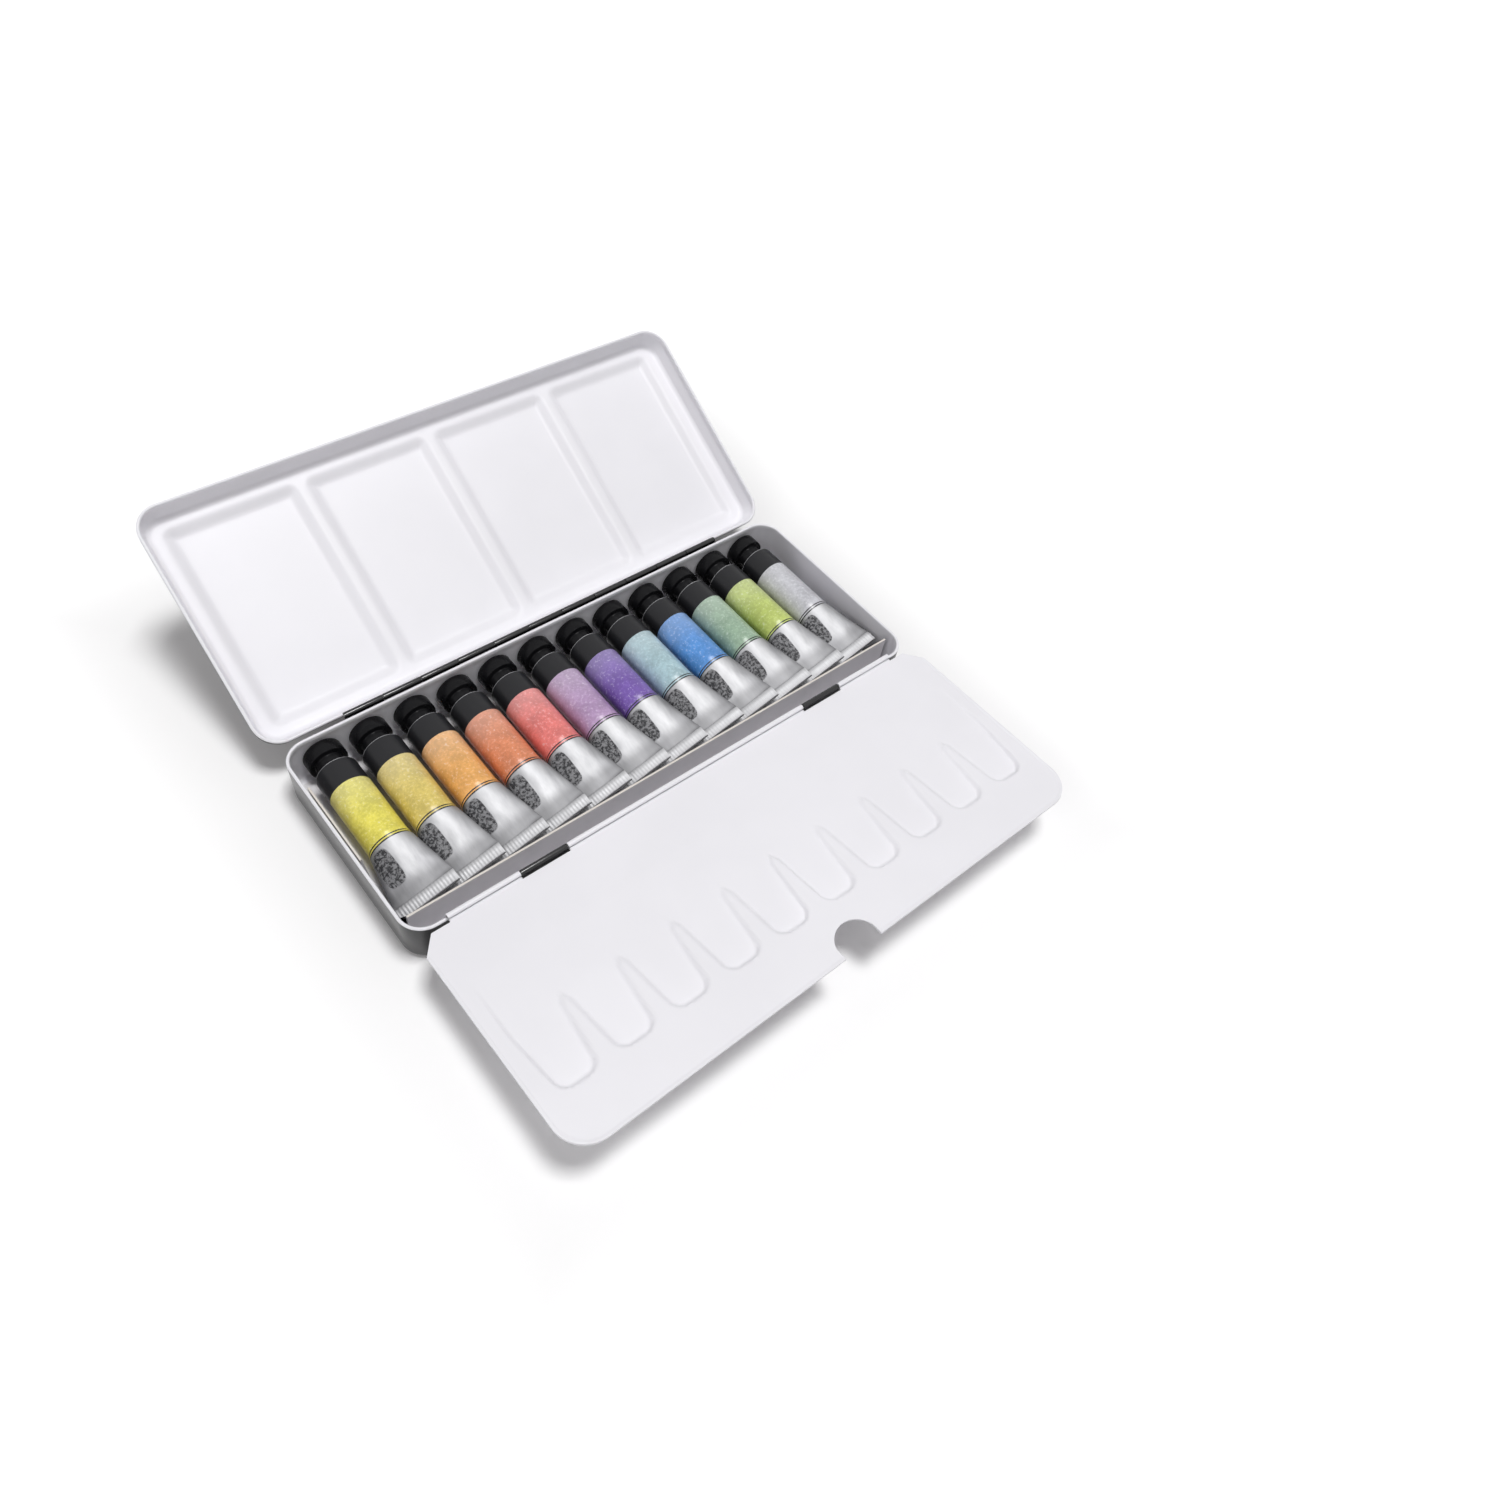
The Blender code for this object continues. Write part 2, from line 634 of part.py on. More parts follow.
def build_tubes(parts):
    """A row of paint tubes lying side by side with their folded tails shingled."""
    tubes = []
    for k, x in enumerate(tube_places()):
        tube = loft(f"tube_{k + 1:02d}", tube_rings(), parts)
        tube.location = (x * MM, 0.0, TUBE_AXIS_Z * MM)
        shade_smooth(tube)
        tubes.append(tube)
    return tubes


def cap_profile():
    """Half section of a screw cap from its closed end to the roof of its bore."""
    disc = -CAP_DISC_LENGTH
    mouth = -SHOULDER_START + CAP_CLEARANCE
    bore = NECK_RADIUS + CAP_CLEARANCE
    roof = NECK_LENGTH - SHOULDER_START + CAP_CLEARANCE
    return [
        (0.0, 0.0),
        (CAP_DISC_RADIUS - CAP_CHAMFER, 0.0),
        (CAP_DISC_RADIUS, -CAP_CHAMFER),
        (CAP_DISC_RADIUS, disc),
        (CAP_WAIST_RADIUS, disc - CAP_CHAMFER),
        (CAP_WAIST_RADIUS, mouth),
        (bore, mouth),
        (bore, roof),
        (0.0, roof),
    ]


def build_caps(parts):
    """Turned screw caps on the necks of the tubes."""
    caps = []
    points = [(r * MM, 0.0, z * MM) for r, z in cap_profile()]
    edges = [(k, k + 1) for k in range(len(points) - 1)]
    for k, x in enumerate(tube_places()):
        name = f"cap_{k + 1:02d}"
        mesh = bpy.data.meshes.new(name)
        mesh.from_pydata(points, edges, [])
        cap = bpy.data.objects.new(name, mesh)
        parts.objects.link(cap)
        turned = cap.modifiers.new("turned", "SCREW")
        turned.axis = "Z"
        turned.angle = 2 * math.pi
        turned.steps = CAP_SIDES
        turned.render_steps = CAP_SIDES
        turned.use_merge_vertices = True
        turned.merge_threshold = 0.00001
        turned.use_normal_calculate = True
        turned.use_smooth_shade = True
        cap.location = (x * MM, TUBE_REAR * MM, TUBE_AXIS_Z * MM)
        cap.rotation_euler = (math.radians(-90), 0.0, 0.0)
        caps.append(cap)
    return caps


def finish_materials(base, lid, flap, pins, card, tubes, caps):
    """One plain material for each kind of piece."""
    black = make_material("black_enamel", BLACK_ENAMEL, 0.25)
    white = make_material("white_enamel", WHITE_ENAMEL, 0.3)
    plastic = make_material("black_plastic", BLACK_PLASTIC, 0.2)
    paper = make_material("white_card", WHITE_CARD, 0.8)
    steel = make_material("pin_steel", STEEL, 0.35, 1.0)
    base.data.materials.append(black)
    lid.data.materials.append(black)
    flap.data.materials.append(white)
    card.data.materials.append(paper)
    for pin in pins:
        pin.data.materials.append(steel)
    for cap in caps:
        cap.data.materials.append(plastic)
    for k, tube in enumerate(tubes):
        name, color = LABELS[k % len(LABELS)]
        tube.data.materials.append(make_material(f"tube_{name}", color, 0.4))


def build():
    """Make every piece of the set."""
    clear_scene()
    parts = make_collection("watercolor_tube_tin")
    tools = make_collection("cutters")
    base = build_base(parts, tools)
    lid = build_lid(parts, tools)
    flap = build_flap(parts, tools)
    pins = build_pins(parts)
    card = build_card(parts, tools)
    tubes = build_tubes(parts)
    caps = build_caps(parts)
    finish_materials(base, lid, flap, pins, card, tubes, caps)


build()
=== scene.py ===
# %% [markdown]
# # A tin of watercolour tubes
#
# A hinged metal tin lies open. Its lid leans back and shows four shallow mixing wells, a palette
# flap folds out in front, and twelve paint tubes lie side by side in the tin.
#
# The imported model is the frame: it says where every piece is and how it moves. This lesson dresses
# that frame with finer surfaces and finishes and leaves the frame itself alone. X runs along the
# tin, Y toward the lid and Z up, and sizes are in millimetres until a mesh is made.

# %% Load the frame
import math
import bmesh
import bpy
import numpy as np
from mathutils import Matrix


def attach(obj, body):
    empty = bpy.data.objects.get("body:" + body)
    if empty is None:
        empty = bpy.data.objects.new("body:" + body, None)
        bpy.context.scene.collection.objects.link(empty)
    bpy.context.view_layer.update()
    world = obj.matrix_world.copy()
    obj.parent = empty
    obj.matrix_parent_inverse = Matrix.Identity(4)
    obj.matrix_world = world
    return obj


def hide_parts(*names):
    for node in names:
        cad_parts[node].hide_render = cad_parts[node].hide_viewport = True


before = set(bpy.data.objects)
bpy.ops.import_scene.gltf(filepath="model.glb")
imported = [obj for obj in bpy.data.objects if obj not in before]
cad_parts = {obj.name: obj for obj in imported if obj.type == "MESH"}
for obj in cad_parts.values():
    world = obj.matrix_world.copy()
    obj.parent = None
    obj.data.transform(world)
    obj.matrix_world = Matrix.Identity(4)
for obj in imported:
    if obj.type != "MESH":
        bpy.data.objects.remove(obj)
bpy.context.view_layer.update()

# %% [markdown]
# ## One way to make every piece
#
# Pressed sheet, rolled knuckles, tubes and caps all share one idea: a closed ring of points that
# changes as it moves along the piece. Blender could build them with modifiers, but a grid of rings
# worked out with numpy gives full control of every curve, so each piece below is such a grid.
# Ends that shrink to a point or a line are welded, which closes the surface.

# %% Put grids of rings into a mesh
MM = 0.001
WELD = 2e-6
SHARP = 40.0


def grid_faces(rows, columns):
    """Corners of each face of a grid that closes on itself along its columns.

    A face joins a point, the next one in its row and the two at the same places in the row after.
    """
    row = np.arange(rows - 1)[:, None] * columns
    here = np.arange(columns)[None, :]
    after = (here + 1) % columns
    corners = (row + here, row + after, row + columns + after, row + columns + here)
    return np.stack(corners, axis=-1).reshape(-1, 4)


def weld(mesh):
    """Merge doubled points, drop faces without area and turn all faces outward."""
    work = bmesh.new()
    work.from_mesh(mesh)
    bmesh.ops.remove_doubles(work, verts=work.verts, dist=WELD)
    bmesh.ops.dissolve_degenerate(work, edges=work.edges, dist=WELD)
    bmesh.ops.recalc_face_normals(work, faces=work.faces)
    work.to_mesh(mesh)
    work.free()


def make_piece(name, shells, finishes, body, node, sharp=SHARP):
    """A piece from (grid, finish of each row) pairs, in millimetres, riding on a body."""
    points, faces, kinds, start = [], [], [], 0
    for grid, rows in shells:
        count, columns = grid.shape[:2]
        points.append(grid.reshape(-1, 3) * MM)
        faces.append(grid_faces(count, columns) + start)
        kinds.append(np.repeat(np.broadcast_to(rows, count - 1), columns))
        start += count * columns
    mesh = bpy.data.meshes.new(name)
    mesh.from_pydata(np.concatenate(points).tolist(), [], np.concatenate(faces).tolist())
    mesh.polygons.foreach_set("material_index", np.concatenate(kinds).astype(np.int32))
    weld(mesh)
    mesh.shade_smooth()
    mesh.set_sharp_from_angle(angle=math.radians(sharp))
    piece = bpy.data.objects.new(name, mesh)
    bpy.context.scene.collection.objects.link(piece)
    for finish in finishes:
        mesh.materials.append(finish)
    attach(piece, body)
    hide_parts(node)
    print(name, len(mesh.polygons), "faces")


print("a grid of 3 by 8 points has", len(grid_faces(3, 8)), "faces")


# %% Small helpers for profiles
def smooth(t):
    """Ease from 0 to 1: 3 t squared less 2 t cubed, held at both ends."""
    t = np.clip(t, 0.0, 1.0)
    return t * t * (3.0 - 2.0 * t)


def arc(middle, radius, start, end, steps):
    """Points of a circle: middle plus radius times cosine and sine of even steps, in degrees."""
    a = np.radians(np.linspace(start, end, steps + 1))
    return np.stack([middle[0] + radius * np.cos(a), middle[1] + radius * np.sin(a)], axis=-1)


def turned(points, axis_y, axis_z, degrees):
    """Turn points about an axis along X: y and z are turned by the angle and moved to the axis."""
    a = math.radians(degrees)
    x, y, z = points[..., 0], points[..., 1], points[..., 2]
    out_y = axis_y + y * math.cos(a) - z * math.sin(a)
    out_z = axis_z + y * math.sin(a) + z * math.cos(a)
    return np.stack([x, out_y, out_z], axis=-1)


def capped(rings):
    """Close a stack of rings by shrinking its first and last ring to their middles."""
    first = np.broadcast_to(rings[0].mean(axis=0), rings[0].shape)
    last = np.broadcast_to(rings[-1].mean(axis=0), rings[-1].shape)
    return np.concatenate([first[None], rings, last[None]])


print("eased steps", np.round(smooth(np.linspace(0, 1, 5)), 3))

# %% [markdown]
# ## Writing finishes as sums
#
# A finish is a tree of shader nodes. Adding and linking nodes one by one hides the idea behind
# them, so a small class wraps a socket and lets plain Python signs add the Math nodes. Every other
# node comes from one method that takes the node's kind, its settings and its inputs.

# %% A socket that can be used in sums
class Wire:
    """A shader socket; sums on it add Math nodes to its finish."""

    def __init__(self, finish, socket):
        self.finish = finish
        self.socket = socket

    def maths(self, operation, *values):
        """A Math node of this kind on wires or plain numbers."""
        return self.finish.node("ShaderNodeMath", {"operation": operation}, dict(enumerate(values)))

    def __add__(self, other):
        return self.maths("ADD", self, other)

    def __sub__(self, other):
        return self.maths("SUBTRACT", self, other)

    def __rsub__(self, other):
        return self.maths("SUBTRACT", other, self)

    def __mul__(self, other):
        return self.maths("MULTIPLY", self, other)

    def __gt__(self, other):
        return self.maths("GREATER_THAN", self, other)

    def __lt__(self, other):
        return self.maths("LESS_THAN", self, other)

    def __abs__(self):
        return self.maths("ABSOLUTE", self)

    __radd__ = __add__
    __rmul__ = __mul__

    def ramp(self, low, high):
        """0 below one value, 1 above another and eased between them."""
        settings = {"interpolation_type": "SMOOTHSTEP"}
        inputs = {"Value": self, "From Min": low, "From Max": high}
        return self.finish.node("ShaderNodeMapRange", settings, inputs)

    def wave(self, length):
        """A sine that repeats after this length."""
        return self.maths("SINE", self * (2.0 * math.pi / length))

    def near(self, middle, reach, ease):
        """1 within this reach of a middle, 0 beyond it and eased at the edge."""
        return 1 - abs(self - middle).ramp(reach - ease, reach)


print("a wire knows sums, ramps and waves")


# %% Node trees
FACTOR, FIRST, SECOND, RESULT = 0, 6, 7, 2


class Tree:
    """The nodes of a material or of the world; every node comes from one method."""

    def __init__(self, tree):
        self.tree = tree

    def plug(self, socket, value):
        """Link a wire to a socket or set a plain value on it."""
        if isinstance(value, Wire):
            self.tree.links.new(value.socket, socket)
        else:
            socket.default_value = value

    def node(self, kind, settings, inputs, output=0):
        """Add a node: settings first, then values or links of its sockets."""
        node = self.tree.nodes.new(kind)
        for key, value in settings.items():
            setattr(node, key, value)
        for key, value in inputs.items():
            self.plug(node.inputs[key], value)
        return Wire(self, node.outputs[output])

    def mix(self, share, one, other):
        """Blend two colours by a share from 0 to 1; the named numbers are a Mix node's sockets."""
        settings = {"data_type": "RGBA", "clamp_factor": True}
        inputs = {FACTOR: share, FIRST: one, SECOND: other}
        return self.node("ShaderNodeMix", settings, inputs, RESULT)

    def seen(self):
        """1 for rays from the camera, off shiny surfaces and through clear ones."""
        kinds = ("Is Camera Ray", "Is Glossy Ray", "Is Transmission Ray")
        direct, shiny, clear = (self.node("ShaderNodeLightPath", {}, {}, kind) for kind in kinds)
        return direct + shiny + clear


print("colours are mixed from sockets", FIRST, "and", SECOND)


# %% Finishes
class Finish(Tree):
    """A material on the Principled shader whose patterns are written as sums of wires."""

    def __init__(self, name, **constants):
        self.material = bpy.data.materials.new(name)
        self.material.use_nodes = True
        super().__init__(self.material.node_tree)
        self.shader = self.tree.nodes["Principled BSDF"]
        for socket, value in constants.items():
            self.shader.inputs[socket.replace("_", " ")].default_value = value
        self.place = self.node("ShaderNodeTexCoord", {}, {}, "Object")
        self.x, self.y, self.z = (self.axis(k) for k in range(3))

    def axis(self, k):
        """One coordinate of the place on the object, in metres."""
        return self.node("ShaderNodeSeparateXYZ", {}, {0: self.place}, k)

    def noise(self, scale, detail=2.0, rough=0.5, stretch=(1.0, 1.0, 1.0)):
        """Soft random pattern with about this many features per metre."""
        where = self.node("ShaderNodeMapping", {}, {"Vector": self.place, "Scale": stretch})
        inputs = {"Vector": where, "Scale": scale, "Detail": detail, "Roughness": rough}
        return self.node("ShaderNodeTexNoise", {}, inputs)

    def bump(self, height, depth):
        """Feed a height pattern, in metres at full depth, to the shader's normal."""
        inputs = {"Height": height, "Distance": depth, "Strength": 1.0}
        self.plug(self.shader.inputs["Normal"], self.node("ShaderNodeBump", {}, inputs))

    def feed(self, **patterns):
        """Link patterns to the shader's inputs by name."""
        for socket, value in patterns.items():
            self.plug(self.shader.inputs[socket.replace("_", " ")], value)
        return self.material


def shade(color, factor=1.0):
    """A colour made darker or lighter, with full cover."""
    return tuple(min(1.0, c * factor) for c in color) + (1.0,)


print("shader helpers ready")

# %% [markdown]
# ## Enamel, black and white
#
# The tin is lacquered black outside and white inside. Lacquer is never quite even: it has a faint
# orange peel and its shine varies. A picture of lacquer could be wrapped round the tin, but noise
# needs no file and has no seams: a fine bump gives the peel, and a broad pattern moves the tone and
# the roughness a little. The white is more satin than the black.

# %% Enamel finishes
WHITE, BLACK = (0.86, 0.85, 0.885), (0.010, 0.010, 0.011)
CLOUDS, CLOUD_RAMP, CLOUD_DARK, CLOUD_LIGHT = 30.0, (0.3, 0.7), 0.985, 1.01
PEEL, PEEL_HEIGHT, UNEVEN_SHINE = 700.0, 0.00001, 0.06


def enamel(name, color, roughness, gloss):
    """Stove enamel with faint orange peel and slightly uneven shine."""
    finish = Finish(name, Specular_IOR_Level=gloss)
    broad = finish.noise(CLOUDS, detail=3.0)
    tone = finish.mix(broad.ramp(*CLOUD_RAMP), shade(color, CLOUD_DARK), shade(color, CLOUD_LIGHT))
    finish.bump(finish.noise(PEEL), PEEL_HEIGHT)
    return finish.feed(Base_Color=tone, Roughness=roughness + (broad - 0.5) * UNEVEN_SHINE)


white_enamel = enamel("white_enamel_satin", WHITE, roughness=0.42, gloss=0.35)
black_enamel = enamel("black_enamel_gloss", BLACK, roughness=0.20, gloss=0.5)
print("enamel", WHITE, BLACK)

# %% [markdown]
# ## The pressed base
#
# A press draws the base from one flat sheet, so its wall and floor meet in a fillet and its rim is
# hemmed. The section of that sheet, as inset and height, is carried round a rounded rectangle. A
# bevelled box would also do, but the section shows how the sheet really runs.

# %% Path round a rounded rectangle
SIGNS = np.array([(1, 1), (-1, 1), (-1, -1), (1, -1)], float)


def frame_path(long_steps, short_steps, corner_steps):
    """Corner weights and outward directions of points round a rounded rectangle.

    Each corner keeps its weight through a quarter circle of directions. Along each side the weight
    moves evenly to the next corner while the direction stays.
    """
    weights, directions = [], []
    for k in range(4):
        ring = arc((0.0, 0.0), 1.0, 90 * k, 90 * k + 90, corner_steps)
        steps = (long_steps, short_steps)[k % 2]
        along = np.linspace(0, 1, steps + 1)[1:-1, None]
        side = SIGNS[k] + along * (SIGNS[(k + 1) % 4] - SIGNS[k])
        weights += [np.tile(SIGNS[k], (len(ring), 1)), side]
        directions += [ring, np.tile(ring[-1], (steps - 1, 1))]
    return np.concatenate(weights), np.concatenate(directions)


def swept_pan(profile, length, depth, corner, path):
    """Carry an (inset, height) profile round a rounded rectangle.

    A point is weight times (half size less the larger of corner and inset), plus what is left of
    the corner radius along its direction.
    """
    weights, directions = path
    inset = profile[:, 0][:, None, None]
    centre = np.maximum(np.array([length, depth]) / 2 - np.maximum(corner, inset), 0.0)
    flat = weights * centre + directions * np.maximum(corner - inset, 0.0)
    height = np.broadcast_to(profile[:, 1][:, None, None], flat.shape[:2] + (1,))
    return np.concatenate([flat, height], axis=-1)


base_path = frame_path(long_steps=40, short_steps=16, corner_steps=14)
print("points round the base", len(base_path[0]))

# %% Base of the tin
TIN_LENGTH, TIN_DEPTH, TIN_HEIGHT, TIN_CORNER = 228.0, 91.0, 20.0, 9.5
SHEET = 0.6
HEM, HEM_HEIGHT, HEM_STEP, HEM_SLANT = 1.2, 1.8, 0.35, 0.2
FILLET_STEPS, HEM_STEPS = 8, 10


def pan_profile(height, draft, fillet, foot_inside, fillet_inside, middle, rows):
    """Black and white halves of a pressed section, from under the floor over the rim to its top.

    Outside, the wall leans in by its draft and turns into the floor by a fillet. The hem is a half
    circle. Inside, the wall leans in to its own foot, where another fillet meets the floor.
    """
    foot = (height - fillet) * math.tan(math.radians(draft))
    spread = np.linspace(middle, foot + fillet, rows + 1)[:, None]
    under = np.concatenate([spread, np.zeros_like(spread)], axis=-1)
    rise = arc((foot + fillet, fillet), fillet, 270, 180, FILLET_STEPS)[1:]
    over = arc((HEM / 2, height - HEM / 2), HEM / 2, 180, 0, HEM_STEPS)
    edge = height - HEM_HEIGHT
    step = np.array([(HEM, edge + HEM_SLANT), (HEM - HEM_STEP, edge - HEM_SLANT)])
    start = foot_inside + fillet_inside
    fall = arc((start, SHEET + fillet_inside), fillet_inside, 180, 270, FILLET_STEPS)
    spread = np.linspace(start, middle, rows + 1)[1:, None]
    floor = np.concatenate([spread, np.full_like(spread, SHEET)], axis=-1)
    return np.concatenate([under, rise]), np.concatenate([over, step, fall, floor])


def pan_rows(outside, inside):
    """Finish of each row of faces: black outside, and white from the hem inward."""
    return np.concatenate([np.zeros(len(outside), int), np.ones(len(inside) - 1, int)])


outer, inner = pan_profile(
    TIN_HEIGHT, draft=0.6, fillet=2.6, foot_inside=0.8, fillet_inside=2.0, middle=TIN_DEPTH / 2, rows=4)
base_grid = swept_pan(np.concatenate([outer, inner]), TIN_LENGTH, TIN_DEPTH, TIN_CORNER, base_path)
base_shells = [(base_grid, pan_rows(outer, inner))]
make_piece("tin_base", base_shells, [black_enamel, white_enamel], "base", "base_tray")

# %% [markdown]
# ## The lid and its wells
#
# The lid is drawn in the same way, and four shallow wells are pressed into its panel. A well is a
# height pattern over the panel: how far a point lies inside a rounded rectangle decides how far it
# sinks, with an eased slope. The same pattern moves the outside, so the sheet keeps its thickness.

# %% Wells of the lid
WELLS, WELL_PITCH, WELL_SIZE, WELL_CORNER = 4, 55.0, (52.2, 82.2), 4.0
WELL_SINK, WELL_SLOPE = 2.2, 4.6


def inside_rectangle(x, y, size, corner):
    """Distance inside a rounded rectangle about the origin, negative outside it.

    It is the corner radius less the distance to a rectangle that is smaller by that radius.
    """
    qx = np.abs(x) - size[0] / 2 + corner
    qy = np.abs(y) - size[1] / 2 + corner
    return corner - np.hypot(np.maximum(qx, 0), np.maximum(qy, 0)) - np.minimum(np.maximum(qx, qy), 0)


def well_depth(x, y):
    """Depth of the wells under the panel: the eased distance inside the nearest of them."""
    middles = (np.arange(WELLS) - (WELLS - 1) / 2) * WELL_PITCH
    near = middles[np.argmin(np.abs(x[..., None] - middles), axis=-1)]
    return WELL_SINK * smooth(inside_rectangle(x - near, y, WELL_SIZE, WELL_CORNER) / WELL_SLOPE)


print("wells", WELLS, "of", WELL_SIZE, "mm")

# %% Lid
LID_LENGTH, LID_DEPTH, LID_CORNER, LID_HEIGHT = 233.0, 96.0, 10.0, 9.2
LID_DROP, LID_LEAN = 1.4, 29.6
REAR_AXIS, REAR_OUTSET = (48.4, 18.1), 0.4
PANEL_MARGIN = 0.01

outer, inner = pan_profile(
    LID_HEIGHT, draft=6.0, fillet=5.5, foot_inside=2.6, fillet_inside=2.4, middle=LID_DEPTH / 2, rows=44)
lid_path = frame_path(long_steps=230, short_steps=72, corner_steps=12)
lid_grid = swept_pan(np.concatenate([outer, inner]), LID_LENGTH, LID_DEPTH, LID_CORNER, lid_path)
panel = lid_grid[..., 2] < SHEET + PANEL_MARGIN
lid_grid[..., 2] -= np.where(panel, well_depth(lid_grid[..., 0], lid_grid[..., 1]), 0.0)
lid_grid += np.array([0.0, REAR_OUTSET + LID_DEPTH / 2, -LID_DROP - LID_HEIGHT])
lid_grid = turned(lid_grid, *REAR_AXIS, LID_LEAN)
lid_shells = [(lid_grid, pan_rows(outer, inner))]
make_piece("tin_lid", lid_shells, [black_enamel, white_enamel], "lid", "lid")

# %% [markdown]
# ## Rolled hinge knuckles
#
# A hinge of this kind is a strip rolled round a wire. Short cylinders would pass from far away, but
# a roll shows its open side up close. So its section, a straight leg that turns into most of a
# circle, is drawn out along the pin for each knuckle. The rear knuckles belong by turns to the base
# and to the lid.

# %% Rolled strips
STRIP, CURL_TURN, CURL_STEPS = 0.45, 250, 24
END_EASE, END_SHRINK = 0.12, 0.985


def curl(radius, leg, level):
    """Closed section of a rolled strip: an upright leg, or a level one, and most of a circle."""
    roll = arc((0.0, 0.0), radius, 0, CURL_TURN, CURL_STEPS)
    lining = arc((0.0, 0.0), radius - STRIP, CURL_TURN, 0, CURL_STEPS)
    section = np.concatenate([[(radius, -leg)], roll, lining, [(radius - STRIP, -leg)]])
    return np.stack([section[:, 1], -section[:, 0]], axis=-1) if level else section


def drawn(section, start, end):
    """Carry a closed section along X between two ends; it shrinks a little toward its middle there."""
    middle = section.mean(axis=0)
    places = (start, start + END_EASE, end - END_EASE, end)
    rings = []
    for x, share in zip(places, (END_SHRINK, 1.0, 1.0, END_SHRINK)):
        flat = middle + (section - middle) * share
        rings.append(np.column_stack([np.full(len(flat), x), flat]))
    return capped(np.array(rings))


def rolled(radius, leg, level, spans, axis, lean):
    """Shells of rolled knuckles on one axis, one for each pair of ends."""
    section = curl(radius, leg, level)
    return [(turned(drawn(section, *span), *axis, lean), 0) for span in spans]


print("strip of", STRIP, "mm rolled by", CURL_TURN, "degrees")

# %% Rear knuckles
REAR_COUNT, REAR_PITCH, REAR_RADIUS, REAR_LEG = 11, 15.8, 1.25, 3.0
KNUCKLE_GAP = 0.4

gap = KNUCKLE_GAP / 2
rear_ends = (np.arange(REAR_COUNT + 1) - REAR_COUNT / 2) * REAR_PITCH
rear_spans = list(zip(rear_ends[:-1] + gap, rear_ends[1:] - gap))
on_base = rolled(REAR_RADIUS, REAR_LEG, level=True, spans=rear_spans[::2], axis=REAR_AXIS, lean=0.0)
on_lid = rolled(REAR_RADIUS, REAR_LEG, level=False, spans=rear_spans[1::2], axis=REAR_AXIS, lean=LID_LEAN)
make_piece("rear_knuckles_base", on_base, [black_enamel], "base", "base_tray")
make_piece("rear_knuckles_lid", on_lid, [black_enamel], "lid", "lid")

# %% Front tabs and palette barrel
FRONT_AXIS = (-45.5, 21.5)
FRONT_RADIUS, FRONT_HALF, TAB_INNER, TAB_OUTER = 1.1, 101.0, 54.4, 73.2
TAB_LEG, BARREL_LEG, FLAP_RISE = 2.4, 2.3, 1.6

tab_spans = [(-TAB_OUTER + gap, -TAB_INNER - gap), (TAB_INNER + gap, TAB_OUTER - gap)]
barrel_spans = [
    (-FRONT_HALF, -TAB_OUTER - gap),
    (-TAB_INNER + gap, TAB_INNER - gap),
    (TAB_OUTER + gap, FRONT_HALF),
]
tabs = rolled(FRONT_RADIUS, TAB_LEG, level=False, spans=tab_spans, axis=FRONT_AXIS, lean=0.0)
make_piece("front_tabs", tabs, [black_enamel], "base", "base_tray")
barrel = rolled(FRONT_RADIUS, BARREL_LEG, level=True, spans=barrel_spans, axis=FRONT_AXIS, lean=-FLAP_RISE)
make_piece("palette_barrel", barrel, [white_enamel], "palette_flap", "palette_flap")

# %% [markdown]
# ## The palette flap
#
# The flap is one enamelled sheet. Ten tongue-shaped wells sink toward its front edge and run
# together toward the hinge, its edges are hemmed and a thumb notch is cut in front. Each column of
# the grid is a closed loop, over the top of the sheet and back underneath, so the heights on both
# sides can follow one pattern.

# %% Outline of the flap
FLAP_HALF, FLAP_REACH, FLAP_CORNER = 113.6, 89.9, 12.0
FLAP_REAR, CLIP_LENGTH, CLIP_DEPTH = 1.9, 5.6, 6.8
NOTCH_X, NOTCH_RADIUS, NOTCH_DEPTH = 2.0, 8.5, 10.7


def flap_rear(x):
    """Rear edge of the sheet: straight, then falling evenly where it is clipped off at both ends."""
    past = np.maximum(np.abs(x) - FLAP_HALF + CLIP_LENGTH, 0)
    return -FLAP_REAR - past * CLIP_DEPTH / CLIP_LENGTH


def flap_front(x):
    """Front edge: straight, with a quarter circle at each corner and the round thumb notch."""
    past = np.clip(np.abs(x) - FLAP_HALF + FLAP_CORNER, 0, FLAP_CORNER)
    edge = -FLAP_REACH + FLAP_CORNER - np.sqrt(FLAP_CORNER ** 2 - past ** 2)
    inward = np.sqrt(np.maximum(NOTCH_RADIUS ** 2 - (x - NOTCH_X) ** 2, 0))
    notch = -FLAP_REACH + NOTCH_DEPTH - NOTCH_RADIUS + inward
    chord = math.sqrt(NOTCH_RADIUS ** 2 - (NOTCH_DEPTH - NOTCH_RADIUS) ** 2)
    return np.where(np.abs(x - NOTCH_X) < chord, notch, edge)


print("front edge at the notch", flap_front(np.array([NOTCH_X])).round(2))

# %% Columns of the flap
COLUMN_STEP, TURN_STEPS = 0.8, 32
NOTCH_SPREAD, NOTCH_BRIM = 8.2, 8.3
SIDE_COLUMNS = np.array([0.3, 0.6, 0.9, 1.2, 1.5])

turns = np.sin(np.radians(np.linspace(-90, 90, TURN_STEPS + 1)))
corner_columns = FLAP_HALF - FLAP_CORNER + FLAP_CORNER * turns[TURN_STEPS // 2:]
columns = np.concatenate([
    np.arange(-FLAP_HALF, FLAP_HALF, COLUMN_STEP),
    corner_columns, -corner_columns,
    FLAP_HALF - SIDE_COLUMNS, SIDE_COLUMNS - FLAP_HALF,
    NOTCH_X + NOTCH_SPREAD * turns, [NOTCH_X - NOTCH_BRIM, NOTCH_X + NOTCH_BRIM],
])
columns = np.unique(np.round(columns, 2))
print("flap columns", len(columns))

